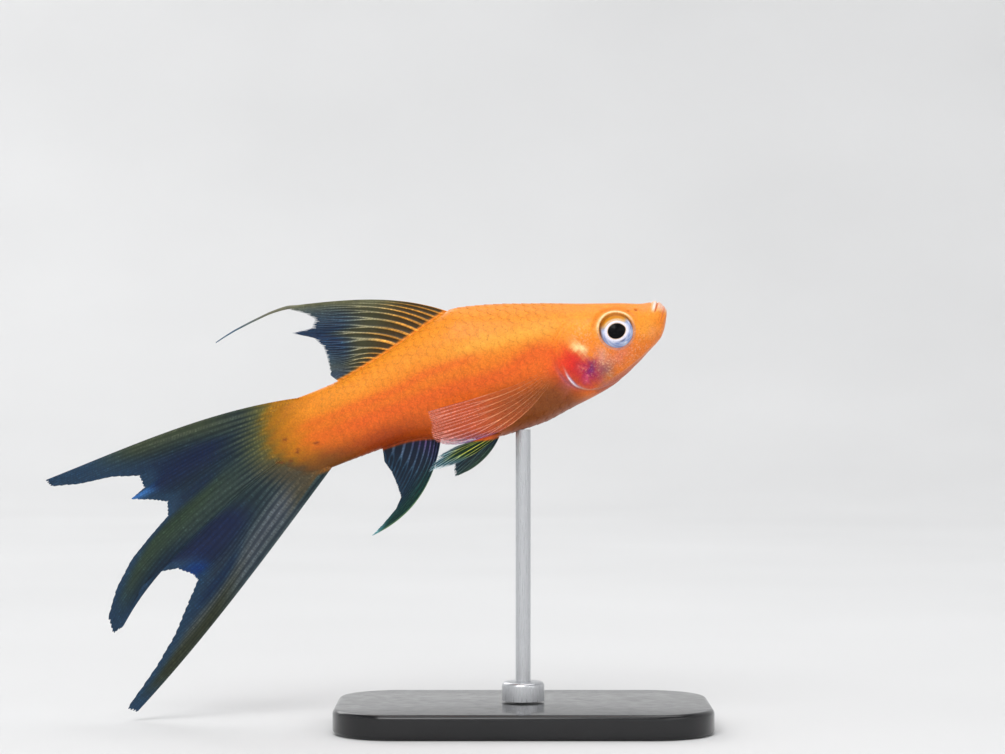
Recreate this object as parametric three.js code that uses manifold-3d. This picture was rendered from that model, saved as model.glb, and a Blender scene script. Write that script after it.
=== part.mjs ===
// A lyretail swordtail in life size, gliding nose up, on a plain display stand.
// Millimetres, +Z up. The origin is the centre of the stand's underside.
// The fish is built along its own axis: "back" counts from the snout towards the tail,
// "up" is above that axis and "side" is to its left. One group then raises its nose.

import * as THREE from 'three';
import { mergeVertices } from 'three/addons/utils/BufferGeometryUtils.js';
import Module from 'manifold-3d';

const wasm = await Module();
wasm.setup();

// Gap between two pieces that touch, and the size of a block that cuts everything beyond a seam
const GAP = 0.3;
const CUTTER = 120;

// The fish on its stand
const NOSE_UP = THREE.MathUtils.degToRad(20);
const SNOUT_X = 22.9;
const SNOUT_HEIGHT = 66.7;

// The hind body and tail swing gently to the fish's left
const SWAY_START = 24;
const SWAY_REACH = 76;
const SWAY_SIDE = 7;

// Body outline as [back, value] knots, from the lower jaw's tip to the end of the flesh
const BACK_LINE = [
  [0, 0.35], [0.15, 0.8], [0.5, 1.25], [1.2, 1.85], [2, 2.05], [3.6, 2.4], [6.5, 3.55], [12.6, 5.7],
  [18.6, 7.95], [24.6, 10.1], [30.8, 11.8], [33, 11.95], [36.1, 11.26], [41.7, 9.75], [47.3, 8.4],
  [53, 7.4], [61, 7.05],
];
const BELLY_LINE = [
  [0, -0.15], [0.15, -0.6], [0.4, -1.1], [0.9, -2.0], [1.5, -2.95], [2.4, -3.9], [4.6, -5.14], [8.8, -7.2],
  [12.5, -8.5], [19.9, -9.63], [24, -10.25], [28.5, -10.15], [32, -9.95], [36, -8.9], [42.5, -6.33],
  [47.3, -5.44], [61, -5.5],
];
const HALF_WIDTH = [
  [0, 0.7], [0.15, 1.35], [0.4, 1.95], [1, 2.6], [2, 3.15], [4, 3.75], [8.7, 4.75], [14, 5.4], [20, 5.85],
  [27, 6.15], [33, 6.0], [40, 5.0], [48, 3.7], [56, 2.4], [61, 1.3],
];
const WIDEST_LEVEL = [[0, 0.2], [2, -0.6], [9, -1.2], [20, -1.0], [30, 0], [45, 1.5], [61, 0.8]];
const SECTION_POWER = 2.25;
const BODY_SIDES = 36;
const SNOUT_STATIONS = [0, 0.06, 0.2, 0.5, 0.9, 1.4, 2, 2.7];
const HEAD_STATIONS = { from: 3.6, to: 21, step: 1.2 };
const TRUNK_STATIONS = { from: 22, to: 60, step: 2.2 };

// End of the flesh at the tail, a rounded edge seen from the side
const STEM_END = 61;
const STEM_BULGE = 3.4;
const STEM_LEAN = 0.1;
const STEM_RAMP = 9;

// Gill cover, whose round rear edge parts the head from the trunk and stands proud of it
const GILL_CENTRE = { back: 10.5, up: -0.9 };
const GILL_RADIUS = 9.6;
const GILL_SIDES = 64;
const GILL_SWELL = 0.45;
const GILL_FRONT = 12;
const GILL_TOP = 1;
const GILL_BOTTOM = -9.2;

// Seam between trunk and tail stem, just behind the dorsal and anal fins
const STEM_SEAM = { top: 54.3, bottom: 50.9 };

// Eyes, in the plane of the cheek and across it, turned a little forwards and upwards as the cheek is
const EYE = { back: 8.9, up: -0.39, side: 4.1, radius: 2.65, depth: 1.7 };
const EYE_FORWARD = THREE.MathUtils.degToRad(9);
const EYE_UPWARD = THREE.MathUtils.degToRad(6);
const EYE_RIM = { tube: 0.38, stand: 0.3 };

// Mouth: the cleft between the jaws, opening upwards
const MOUTH = { back: 0.85, up: 1.3, slope: THREE.MathUtils.degToRad(45), reach: 1.6, halfWidth: 2.55 };
const MOUTH_CLEFT = 0.35;
const LIP_RADIUS = 0.42;
const LIP_OFFSET = 0.38;
const NOSTRIL = { back: 4.7, up: 1.75, side: 3.05, radius: 0.34, depth: 1.2 };
const NOSTRIL_TILT = THREE.MathUtils.degToRad(45);

// Thickness of the fins at the root, in the membrane, on a ray's ridge and at the margin
const FIN_THICK = { root: 1.3, membrane: 0.5, ray: 0.95, margin: 0.36 };
const RIDGE_FOOT = 0.27;
const FIN_SINK = 1.2;
const ROOT_TAPER = 9;
const FIN_ROWS = { caudal: 12, dorsal: 11, streamer: 8, anal: 9, pectoral: 8, pelvic: 7 };

// One row for each ray: where its tip is, [back, up], and how far it bows near root and tip
const CAUDAL_RAYS = [
  [104.1, 8.6, 0.06, 0.02], [103.6, 7.3, 0.036, 0.022], [99.1, 6.1, 0.031, 0.018],
  [93.6, 5.4, 0.024, 0.001], [89.2, 4.0, 0.031, 0.027], [89.1, 1.9, 0.05, 0.045],
  [91.8, 0.9, 0.045, 0.01], [88.4, -0.4, 0.059, 0.019], [86.2, -1.5, 0.067, 0.043],
  [86.8, -3.7, 0.08, 0.038], [90.8, -5.9, 0.075, 0.021], [94.8, -8.3, 0.063, 0.03],
  [98.8, -11.9, 0.062, 0.053], [101.6, -15.4, 0.057, 0.097], [101.7, -18.5, 0.053, 0.13],
  [98.8, -16.4, 0.061, 0.08], [94.8, -13.0, 0.07, 0.0], [91.5, -11.7, 0.086, -0.03],
  [88.2, -12.2, 0.1, -0.05], [86.2, -13.9, 0.11, -0.068], [85.8, -15.1, 0.12, -0.081],
  [88.9, -18.3, 0.1, -0.081], [92.6, -22.2, 0.073, -0.074], [97.5, -26.2, 0.035, -0.063],
  [104.2, -30.9, 0.008, -0.052], [102.8, -32.0, -0.012, -0.025],
];
const CAUDAL_PARTS = [
  { name: 'caudal_upper', from: 0, to: 8.5, colour: 0x8f9b8a },
  { name: 'caudal_middle', from: 8.5, to: 19.5, colour: 0x5f7482 },
  { name: 'caudal_lower', from: 19.5, to: 25, colour: 0x8a8a6a },
];
const CAUDAL_ROOT = { top: 6.95, bottom: -5.35 };
const CAUDAL_WAVE = { side: 1.2, turn: 0.22, shift: 0.6 };

const DORSAL_RAYS = [
  [57.8, 21.75, 0.1, 0.06], [58.1, 21.0, 0.131, 0.071], [54.7, 19.4, 0.17, 0.067], [53.5, 18.0, 0.2, 0.068],
  [54.5, 16.8, 0.21, 0.03], [57.9, 17.2, 0.18, -0.03], [54.7, 15.2, 0.22, -0.03], [53.7, 13.3, 0.24, 0],
  [53.7, 11.9, 0.22, 0.02], [53.8, 10.7, 0.16, 0.04], [53.9, 9.8, 0.1, 0.05], [54.1, 9.0, 0.04, 0.02],
];
const DORSAL_ROOT = { front: 33.1, rear: 52.6 };
const DORSAL_FILAMENT = [[70.0, 20.1, 0.045, 0.09], [69.8, 19.8, 0.045, 0.09]];
const FILAMENT_ROOT = { top: [58.12, 21.85], bottom: [58.42, 21.05] };
const FILAMENT_THICK = { root: 0.5, membrane: 0.5, ray: 0.5, margin: 0.3 };
const DORSAL_LEAN = 0.12;

const ANAL_RAYS = [
  [56.9, -17.9, -0.18, -0.21], [54.4, -16.7, -0.19, -0.16], [51.7, -14.9, -0.18, -0.1],
  [50.4, -13.0, -0.15, -0.08], [50.4, -11.2, -0.13, -0.06], [50.7, -9.3, -0.1, -0.05],
  [50.9, -7.6, -0.06, -0.03],
];
const ANAL_ROOT = { front: 40.2, rear: 49.8 };

// Paired fins: the root is a short line on the body's side
const PECTORAL_RAYS = [
  [41.2, -2.2, -0.089, -0.006], [41.2, -3.0, -0.098, -0.014], [41.2, -3.9, -0.107, -0.022],
  [41.4, -4.6, -0.113, -0.037], [41.7, -5.3, -0.117, -0.051], [41.8, -6.2, -0.11, -0.08],
  [41.5, -7.1, -0.11, -0.105], [40.5, -7.9, -0.107, -0.14], [38.9, -8.5, -0.1, -0.17],
  [36.8, -8.6, -0.125, -0.18],
];
const PECTORAL_ROOT = {
  from: [20.9, -2.1], to: [21.3, -4.5], side: 5.1, flare: 2.6, turn: 2.2, spread: 0.17,
};
const PELVIC_RAYS = [
  [40.5, -11.6, -0.044, -0.044], [42.4, -11.4, -0.02, -0.02], [44.7, -11.2, 0.04, 0.05],
  [42.1, -9.3, 0, 0], [39.4, -8.9, 0, 0],
];
const PELVIC_ROOT = { from: [31.6, -9.5], to: [33.6, -9.0], side: 1.9, flare: 1.2, turn: 2.5, spread: 0.16 };
const FAR_PELVIC_RAYS = [
  [38.9, -13.5, -0.12, -0.12], [41.1, -13.7, -0.07, -0.07], [40.8, -12.4, 0.02, 0.02],
  [40.0, -11.2, 0.02, 0.02], [38.6, -9.9, 0.01, 0.01],
];

// Display stand
const BASE = { length: 60, width: 36, height: 4, corner: 10, bevel: 0.8 };
const ROD = { radius: 1.2, sides: 16, top: 52 };
const COLLAR = { radius: 3.4, height: 3, lip: 0.7 };

// Values between knots on a smooth curve
function smoothLine(knots) {
  const slope = (index) => {
    const before = knots[Math.max(index - 1, 0)];
    const after = knots[Math.min(index + 1, knots.length - 1)];
    return (after[1] - before[1]) / (after[0] - before[0]);
  };
  return (at) => {
    let index = 0;
    while (index < knots.length - 2 && at > knots[index + 1][0]) index += 1;
    const [x0, y0] = knots[index];
    const [x1, y1] = knots[index + 1];
    const span = x1 - x0;
    const t = THREE.MathUtils.clamp((at - x0) / span, 0, 1);
    const rise = y1 - y0;
    const lead = slope(index) * span - rise;
    const trail = rise - slope(index + 1) * span;
    return y0 + rise * t + t * (1 - t) * ((1 - t) * lead + t * trail);
  };
}

const backLine = smoothLine(BACK_LINE);
const bellyLine = smoothLine(BELLY_LINE);
const halfWidth = smoothLine(HALF_WIDTH);
const widestLevel = smoothLine(WIDEST_LEVEL);
const { lerp, smoothstep } = THREE.MathUtils;

function sway(back) {
  const along = Math.max(back - SWAY_START, 0) / SWAY_REACH;
  return SWAY_SIDE * along * along;
}

// A point of the fish in the group's axes, with the swing of the hind body
function place(back, side, up) {
  return [-back, side + sway(back), up];
}

// How far the flesh reaches at the tail, at a given level
function stemEnd(up) {
  const middle = (backLine(STEM_END) + bellyLine(STEM_END)) / 2;
  const reach = (backLine(STEM_END) - bellyLine(STEM_END)) / 2;
  const level = (up - middle) / reach;
  return STEM_LEAN * (up - middle) + STEM_BULGE * Math.max(1 - level * level, 0);
}

// The gill cover rises out of the cheek towards its rear edge
function gillSwell(back, up) {
  const rise = Math.min(Math.abs(up - GILL_CENTRE.up), GILL_RADIUS);
  const edge = GILL_CENTRE.back + Math.sqrt(GILL_RADIUS ** 2 - rise ** 2);
  const along = smoothstep(back, GILL_FRONT, edge);
  const level = smoothstep(up, GILL_BOTTOM, GILL_BOTTOM + 2) * (1 - smoothstep(up, GILL_TOP - 2, GILL_TOP));
  return GILL_SWELL * along * level;
}

// Closed geometry from points and triangles
function closedGeometry(points, triangles) {
  const geometry = new THREE.BufferGeometry();
  geometry.setAttribute('position', new THREE.Float32BufferAttribute(points.flat(), 3));
  geometry.setIndex(triangles.flat());
  return geometry;
}

// Where the body's cross-sections lie: close together on the snout, wider apart behind the head
function bodyStations() {
  const stations = [...SNOUT_STATIONS];
  [HEAD_STATIONS, TRUNK_STATIONS].forEach(({ from, to, step }) => {
    for (let back = from; back < to; back += step) stations.push(back);
  });
  stations.push(STEM_END);
  return stations;
}

// The whole body in one piece. "grow" makes it larger all round, for cutting what meets it.
function bodyGeometry(grow, swell) {
  const points = [];
  const triangles = [];
  const stations = bodyStations();
  stations.forEach((back) => {
    const level = widestLevel(back);
    const above = backLine(back) - level + grow;
    const below = level - bellyLine(back) + grow;
    const across = halfWidth(back) + grow;
    const ramp = smoothstep(back, STEM_END - STEM_RAMP, STEM_END);
    const shift = back === 0 ? -grow : grow * ramp;
    for (let step = 0; step < BODY_SIDES; step += 1) {
      const angle = (2 * Math.PI * (step + 0.5)) / BODY_SIDES;
      const cos = Math.cos(angle);
      const sin = Math.sin(angle);
      const reach = (Math.abs(cos) ** SECTION_POWER + Math.abs(sin) ** SECTION_POWER) ** (-1 / SECTION_POWER);
      const up = level + reach * sin * (sin > 0 ? above : below);
      const flank = reach * cos * across;
      const side = flank + cos * swell * gillSwell(back, up);
      points.push(place(back + shift + ramp * stemEnd(up), side, up));
    }
  });
  for (let ring = 0; ring < stations.length - 1; ring += 1) {
    for (let step = 0; step < BODY_SIDES; step += 1) {
      const here = ring * BODY_SIDES + step;
      const next = ring * BODY_SIDES + ((step + 1) % BODY_SIDES);
      triangles.push([here, here + BODY_SIDES, next], [next, here + BODY_SIDES, next + BODY_SIDES]);
    }
  }
  // Both ends are closed by strips that run straight across from side to side
  const quarter = BODY_SIDES / 4;
  const lastRing = (stations.length - 1) * BODY_SIDES;
  for (let rung = -quarter; rung < quarter - 1; rung += 1) {
    const left = (rung + BODY_SIDES) % BODY_SIDES;
    const leftUp = (rung + 1 + BODY_SIDES) % BODY_SIDES;
    const right = BODY_SIDES / 2 - 1 - rung;
    const rightUp = right - 1;
    triangles.push([left, leftUp, right], [leftUp, rightUp, right]);
    triangles.push([lastRing + left, lastRing + right, lastRing + leftUp]);
    triangles.push([lastRing + leftUp, lastRing + right, lastRing + rightUp]);
  }
  return closedGeometry(points, triangles);
}

// Turns a closed geometry into a solid for cutting and joining
function toSolid(geometry) {
  const bare = geometry.clone();
  bare.deleteAttribute('normal');
  bare.deleteAttribute('uv');
  const merged = mergeVertices(bare, 1e-4);
  return new wasm.Manifold(new wasm.Mesh({
    numProp: 3,
    vertProperties: new Float32Array(merged.attributes.position.array),
    triVerts: new Uint32Array(merged.index.array),
  }));
}

// The largest closed surface of a solid, back as a geometry
function toGeometry(solid) {
  const largest = solid.decompose().sort((a, b) => b.volume() - a.volume())[0];
  const mesh = largest.getMesh();
  const geometry = new THREE.BufferGeometry();
  geometry.setAttribute('position', new THREE.BufferAttribute(new Float32Array(mesh.vertProperties), 3));
  geometry.setIndex(new THREE.BufferAttribute(new Uint32Array(mesh.triVerts), 1));
  geometry.computeVertexNormals();
  return geometry;
}

function material(colour, roughness, metalness = 0) {
  return new THREE.MeshStandardMaterial({ color: colour, roughness, metalness });
}

function named(name, geometry, look) {
  const mesh = new THREE.Mesh(geometry, look);
  mesh.name = name;
  return mesh;
}

// A block across the body: everything in front of or behind a seam that leans in side view
function seamBlock(direction, gap) {
  const rise = backLine(STEM_SEAM.top) - bellyLine(STEM_SEAM.bottom);
  const lean = Math.atan2(STEM_SEAM.top - STEM_SEAM.bottom, rise);
  const block = new THREE.BoxGeometry(CUTTER, CUTTER, CUTTER);
  block.translate((direction * (CUTTER - gap)) / 2, 0, 0);
  block.rotateY(-lean);
  const middle = (STEM_SEAM.top + STEM_SEAM.bottom) / 2;
  block.translate(-middle, 0, (backLine(middle) + bellyLine(middle)) / 2);
  return toSolid(block);
}

// Everything in front of the gill cover's rear edge: a drum, and a block over the snout
function gillArc(radius) {
  const drum = new THREE.CylinderGeometry(radius, radius, CUTTER, GILL_SIDES);
  drum.translate(-GILL_CENTRE.back, 0, GILL_CENTRE.up);
  const block = new THREE.BoxGeometry(CUTTER, CUTTER, 2 * radius);
  block.translate(CUTTER / 2 - GILL_CENTRE.back, 0, GILL_CENTRE.up);
  return toSolid(drum).add(toSolid(block));
}

// Turns a shape made about the eye's axis and sets it in its place on the head
function placeAtEye(shape, side, across) {
  shape.rotateX(side * EYE_UPWARD);
  shape.rotateZ(-side * EYE_FORWARD);
  shape.translate(-EYE.back, side * across, EYE.up);
  return shape;
}

// An ellipsoid at an eye, larger than the eye by "grow"
function eyeGeometry(side, grow) {
  const ball = new THREE.SphereGeometry(1, 20, 10);
  ball.rotateX(Math.PI / 2);
  ball.scale(EYE.radius + grow, EYE.depth + grow, EYE.radius + grow);
  return placeAtEye(ball, side, EYE.side);
}

// The raised rim that the eye sits in
function eyeRim(side) {
  const ring = new THREE.TorusGeometry(EYE.radius + GAP + EYE_RIM.tube / 3, EYE_RIM.tube, 6, 24);
  ring.rotateX(Math.PI / 2);
  return toSolid(placeAtEye(ring, side, EYE.side + EYE_RIM.stand));
}

// A lip follows the mouth's edge from corner to corner
class LipCurve extends THREE.Curve {
  constructor(offset) {
    super();
    this.offset = offset;
  }

  getPoint(t) {
    const angle = Math.PI * (t - 0.5);
    const forward = MOUTH.reach * (Math.cos(angle) - 1);
    const across = MOUTH.halfWidth * Math.sin(angle);
    const back = MOUTH.back - forward * Math.cos(MOUTH.slope) + this.offset * Math.sin(MOUTH.slope);
    const up = MOUTH.up + forward * Math.sin(MOUTH.slope) + this.offset * Math.cos(MOUTH.slope);
    return new THREE.Vector3(-back, across, up);
  }
}

function lip(offset) {
  const section = new THREE.Shape().absarc(0, 0, LIP_RADIUS, 0, 2 * Math.PI);
  const path = new LipCurve(offset);
  return toSolid(new THREE.ExtrudeGeometry(section, { steps: 12, curveSegments: 3, extrudePath: path }));
}

function mouthCleft() {
  const slab = new THREE.BoxGeometry(MOUTH.reach * 2, 2 * (MOUTH.halfWidth + LIP_RADIUS), MOUTH_CLEFT);
  slab.rotateY(-MOUTH.slope);
  slab.translate(-MOUTH.back, 0, MOUTH.up);
  return toSolid(slab);
}

function nostril(side) {
  const pit = new THREE.CylinderGeometry(NOSTRIL.radius, NOSTRIL.radius * 0.6, NOSTRIL.depth, 8);
  pit.rotateX(side * NOSTRIL_TILT);
  pit.translate(-NOSTRIL.back, side * NOSTRIL.side, NOSTRIL.up);
  return toSolid(pit);
}

function headMesh() {
  let head = toSolid(bodyGeometry(0, 1)).intersect(gillArc(GILL_RADIUS));
  [LIP_OFFSET, -LIP_OFFSET].forEach((offset) => {
    head = head.add(lip(offset));
  });
  [-1, 1].forEach((side) => {
    head = head.add(eyeRim(side)).subtract(toSolid(eyeGeometry(side, GAP))).subtract(nostril(side));
  });
  head = head.subtract(mouthCleft());
  return named('head', toGeometry(head), material(0xf39a52, 0.5));
}

function trunkMesh() {
  const trunk = toSolid(bodyGeometry(0, 0)).subtract(gillArc(GILL_RADIUS + GAP)).subtract(seamBlock(-1, GAP));
  return named('trunk', toGeometry(trunk), material(0xf2973a, 0.5));
}

function tailStemMesh() {
  const stem = toSolid(bodyGeometry(0, 0)).subtract(seamBlock(1, GAP));
  return named('tail_stem', toGeometry(stem), material(0xe0a33c, 0.5));
}

// A point of the fin between its rays: u counts rays, v goes from root to margin
function finPoint(rays, root, u, v) {
  const index = Math.min(Math.floor(u), rays.length - 2);
  const part = u - index;
  const between = (value, at) => lerp(value, rays[index + 1][at], part);
  const [tipBack, tipUp, bowRoot, bowTip] = rays[index].map(between);
  const [rootBack, rootUp] = root(u / (rays.length - 1));
  const alongBack = tipBack - rootBack;
  const alongUp = tipUp - rootUp;
  const bow = 3 * v * (1 - v) * ((1 - v) * bowRoot + v * bowTip);
  return [rootBack + alongBack * v - alongUp * bow, rootUp + alongUp * v + alongBack * bow];
}

// Columns of a fin's grid: each ray's crest, and a foot on either side of it
function finColumns(from, to) {
  const columns = [from];
  for (let ray = Math.ceil(from); ray <= Math.floor(to); ray += 1) {
    [ray - RIDGE_FOOT, ray, ray + RIDGE_FOOT].forEach((at) => {
      if (at > from && at < to) columns.push(at);
    });
  }
  columns.push(to);
  return columns;
}

// A thin closed sheet with the same triangles on both faces
function finGeometry({ rays, root, side, from = 0, to = rays.length - 1, rows = 12, thick = FIN_THICK }) {
  const columns = finColumns(from, to);
  const faces = [[], []];
  columns.forEach((column) => {
    for (let row = 0; row <= rows; row += 1) {
      const v = row / rows;
      const spacing = () => {
        const [b0, u0] = finPoint(rays, root, Math.max(column - 0.5, 0), v);
        const [b1, u1] = finPoint(rays, root, Math.min(column + 0.5, rays.length - 1), v);
        return Math.hypot(b1 - b0, u1 - u0);
      };
      let u = column;
      if (column === from && from > 0) u += GAP / 2 / spacing();
      if (column === to && to < rays.length - 1) u -= GAP / 2 / spacing();
      const [back, up] = finPoint(rays, root, u, v);
      const onRay = Number.isInteger(column);
      const blade = lerp(onRay ? thick.ray : thick.membrane, thick.margin, v * v * v);
      const half = (blade + (thick.root - blade) * Math.exp(-v * ROOT_TAPER)) / 2;
      const middle = side(back, up, v);
      faces[0].push(place(back, middle - half, up));
      faces[1].push(place(back, middle + half, up));
    }
  });
  const stride = rows + 1;
  const count = faces[0].length;
  const triangles = [];
  const quad = (a, b, c, d) => triangles.push([a, b, c], [a, c, d]);
  for (let column = 0; column < columns.length - 1; column += 1) {
    for (let row = 0; row < rows; row += 1) {
      const here = column * stride + row;
      quad(here, here + 1, here + 1 + stride, here + stride);
      triangles.push([here + count, here + 1 + stride + count, here + 1 + count]);
      triangles.push([here + count, here + stride + count, here + 1 + stride + count]);
    }
    const foot = column * stride;
    quad(foot, foot + stride, foot + stride + count, foot + count);
    const margin = foot + rows;
    quad(margin + stride, margin, margin + count, margin + stride + count);
  }
  const last = (columns.length - 1) * stride;
  for (let row = 0; row < rows; row += 1) {
    quad(row + 1, row, row + count, row + 1 + count);
    quad(last + row, last + row + 1, last + row + 1 + count, last + row + count);
  }
  // A fin that fans the other way round in side view has its faces turned about
  const [frontBack, frontUp] = finPoint(rays, root, from, 0.5);
  const [rearBack, rearUp] = finPoint(rays, root, to, 0.5);
  const [outBack, outUp] = finPoint(rays, root, from, 0.7);
  const turn = (rearBack - frontBack) * (outUp - frontUp) - (rearUp - frontUp) * (outBack - frontBack);
  const facing = turn > 0 ? triangles : triangles.map(([a, b, c]) => [a, c, b]);
  return closedGeometry([...faces[0], ...faces[1]], facing);
}

// Fits a fin's root to the body's surface, with the usual gap
function fitToBody(geometry) {
  return toGeometry(toSolid(geometry).subtract(toSolid(bodyGeometry(GAP, 0))));
}

function caudalMeshes() {
  const root = (t) => {
    const up = lerp(CAUDAL_ROOT.top, CAUDAL_ROOT.bottom, t);
    return [STEM_END + stemEnd(up) + GAP, up];
  };
  const { side: swing, turn, shift } = CAUDAL_WAVE;
  const side = (back, up, v) => swing * Math.sin(up * turn + shift) * v * v;
  return CAUDAL_PARTS.map(({ name, from, to, colour }) => {
    const geometry = finGeometry({ rays: CAUDAL_RAYS, root, side, from, to, rows: FIN_ROWS.caudal });
    geometry.computeVertexNormals();
    return named(name, geometry, material(colour, 0.45));
  });
}

function dorsalMeshes() {
  const lean = (back, up) => DORSAL_LEAN * Math.max(up - backLine(back), 0);
  const root = (t) => {
    const back = lerp(DORSAL_ROOT.front, DORSAL_ROOT.rear, t);
    return [back, backLine(back) - FIN_SINK];
  };
  const fin = fitToBody(finGeometry({ rays: DORSAL_RAYS, root, side: lean, rows: FIN_ROWS.dorsal }));
  const streamerRoot = (t) => FILAMENT_ROOT.top.map((value, at) => lerp(value, FILAMENT_ROOT.bottom[at], t));
  const streamer = finGeometry({
    rays: DORSAL_FILAMENT, root: streamerRoot, side: lean, rows: FIN_ROWS.streamer, thick: FILAMENT_THICK,
  });
  streamer.computeVertexNormals();
  return [
    named('dorsal_fin', fin, material(0x9c9468, 0.45)),
    named('dorsal_filament', streamer, material(0xb8b088, 0.45)),
  ];
}

function analMesh() {
  const root = (t) => {
    const back = lerp(ANAL_ROOT.front, ANAL_ROOT.rear, t);
    return [back, bellyLine(back) + FIN_SINK];
  };
  const fin = finGeometry({ rays: ANAL_RAYS, root, side: () => 0, rows: FIN_ROWS.anal });
  return named('anal_fin', fitToBody(fin), material(0x6f9a96, 0.45));
}

// A paired fin leaves the body outwards, then sweeps back beside it
function pairedFin(name, rays, shape, sign, rows, colour) {
  const root = (t) => [lerp(shape.from[0], shape.to[0], t), lerp(shape.from[1], shape.to[1], t)];
  const side = (back, up) => {
    const run = Math.hypot(back - shape.from[0], up - shape.from[1]);
    return sign * (shape.side + shape.flare * (1 - Math.exp(-run / shape.turn)) + shape.spread * run);
  };
  return named(name, fitToBody(finGeometry({ rays, root, side, rows })), material(colour, 0.45));
}

function pairedFins() {
  return [
    pairedFin('pectoral_right', PECTORAL_RAYS, PECTORAL_ROOT, -1, FIN_ROWS.pectoral, 0xd9a293),
    pairedFin('pectoral_left', PECTORAL_RAYS, PECTORAL_ROOT, 1, FIN_ROWS.pectoral, 0xd9a293),
    pairedFin('pelvic_right', PELVIC_RAYS, PELVIC_ROOT, -1, FIN_ROWS.pelvic, 0xb5b07a),
    pairedFin('pelvic_left', FAR_PELVIC_RAYS, PELVIC_ROOT, 1, FIN_ROWS.pelvic, 0x7c9aa0),
  ];
}

function eyeMeshes() {
  return [['eye_right', -1], ['eye_left', 1]].map(([name, side]) => {
    return named(name, eyeGeometry(side, 0), material(0xb9c6d6, 0.15));
  });
}

// The fish's own axes inside the model
function fishGroup() {
  const fish = new THREE.Group();
  fish.position.set(SNOUT_X, 0, SNOUT_HEIGHT);
  fish.rotation.y = -NOSE_UP;
  fish.add(headMesh(), trunkMesh(), tailStemMesh(), ...eyeMeshes());
  fish.add(...dorsalMeshes(), ...caudalMeshes(), analMesh(), ...pairedFins());
  fish.updateMatrixWorld(true);
  return fish;
}

function standBase() {
  const x = BASE.length / 2 - BASE.bevel;
  const y = BASE.width / 2 - BASE.bevel;
  const outline = new THREE.Shape();
  outline.absarc(x - BASE.corner, y - BASE.corner, BASE.corner, 0, Math.PI / 2);
  outline.absarc(-x + BASE.corner, y - BASE.corner, BASE.corner, Math.PI / 2, Math.PI);
  outline.absarc(-x + BASE.corner, -y + BASE.corner, BASE.corner, Math.PI, 1.5 * Math.PI);
  outline.absarc(x - BASE.corner, -y + BASE.corner, BASE.corner, 1.5 * Math.PI, 2 * Math.PI);
  const plate = new THREE.ExtrudeGeometry(outline, {
    depth: BASE.height - 2 * BASE.bevel,
    bevelThickness: BASE.bevel,
    bevelSize: BASE.bevel,
    bevelSegments: 1,
    curveSegments: 7,
  });
  plate.translate(0, 0, BASE.bevel);
  return named('stand_base', toGeometry(toSolid(plate)), material(0x1c1d20, 0.3));
}

function standCollar() {
  const inner = ROD.radius + GAP;
  const low = BASE.height + GAP;
  const high = low + COLLAR.height;
  const profile = [
    [inner, low], [COLLAR.radius, low],
    [COLLAR.radius, high - COLLAR.lip], [COLLAR.radius - COLLAR.lip, high],
    [inner, high], [inner, low],
  ].map(([radius, height]) => new THREE.Vector2(radius, height));
  const ring = new THREE.LatheGeometry(profile, 20);
  ring.rotateX(Math.PI / 2);
  return named('stand_collar', toGeometry(toSolid(ring)), material(0xb9bcc0, 0.3, 0.9));
}

function standRod(fish) {
  const low = BASE.height + GAP;
  const rod = new THREE.CylinderGeometry(ROD.radius, ROD.radius, ROD.top - low, ROD.sides);
  rod.rotateX(Math.PI / 2);
  rod.translate(0, 0, (low + ROD.top) / 2);
  const body = bodyGeometry(GAP, 0).applyMatrix4(fish.matrixWorld);
  return named('stand_rod', toGeometry(toSolid(rod).subtract(toSolid(body))), material(0xb9bcc0, 0.3, 0.9));
}

const model = new THREE.Group();
const fish = fishGroup();
model.add(fish, standBase(), standCollar(), standRod(fish));

export default model;
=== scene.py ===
# A lyretail swordtail in life size on a plain display stand: skin, scales, eyes, fins and studio.
# Shapes are worked out along the fish's own axes in millimetres: "back" counts from the snout
# towards the tail, "up" is above that axis and "side" is to the fish's left.

import math

import bpy
import numpy as np
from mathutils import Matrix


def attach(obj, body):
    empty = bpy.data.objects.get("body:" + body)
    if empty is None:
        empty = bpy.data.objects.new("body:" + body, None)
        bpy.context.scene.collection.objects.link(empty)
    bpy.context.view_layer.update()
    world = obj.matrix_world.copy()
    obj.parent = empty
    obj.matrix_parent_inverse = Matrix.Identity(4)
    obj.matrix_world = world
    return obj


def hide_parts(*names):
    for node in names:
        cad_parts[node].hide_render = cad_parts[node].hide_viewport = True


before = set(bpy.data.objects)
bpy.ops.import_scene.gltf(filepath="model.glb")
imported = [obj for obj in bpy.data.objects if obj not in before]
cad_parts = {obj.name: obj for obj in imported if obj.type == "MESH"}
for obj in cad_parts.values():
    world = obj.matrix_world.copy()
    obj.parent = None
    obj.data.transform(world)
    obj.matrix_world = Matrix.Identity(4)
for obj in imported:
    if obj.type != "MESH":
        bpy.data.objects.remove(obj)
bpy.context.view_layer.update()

MM = 0.001

# The fish on its stand, as in the solids
NOSE_UP = math.radians(20)
SNOUT_X = 22.9
SNOUT_HEIGHT = 66.7
SWAY_START = 24
SWAY_REACH = 76
SWAY_SIDE = 7

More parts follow.
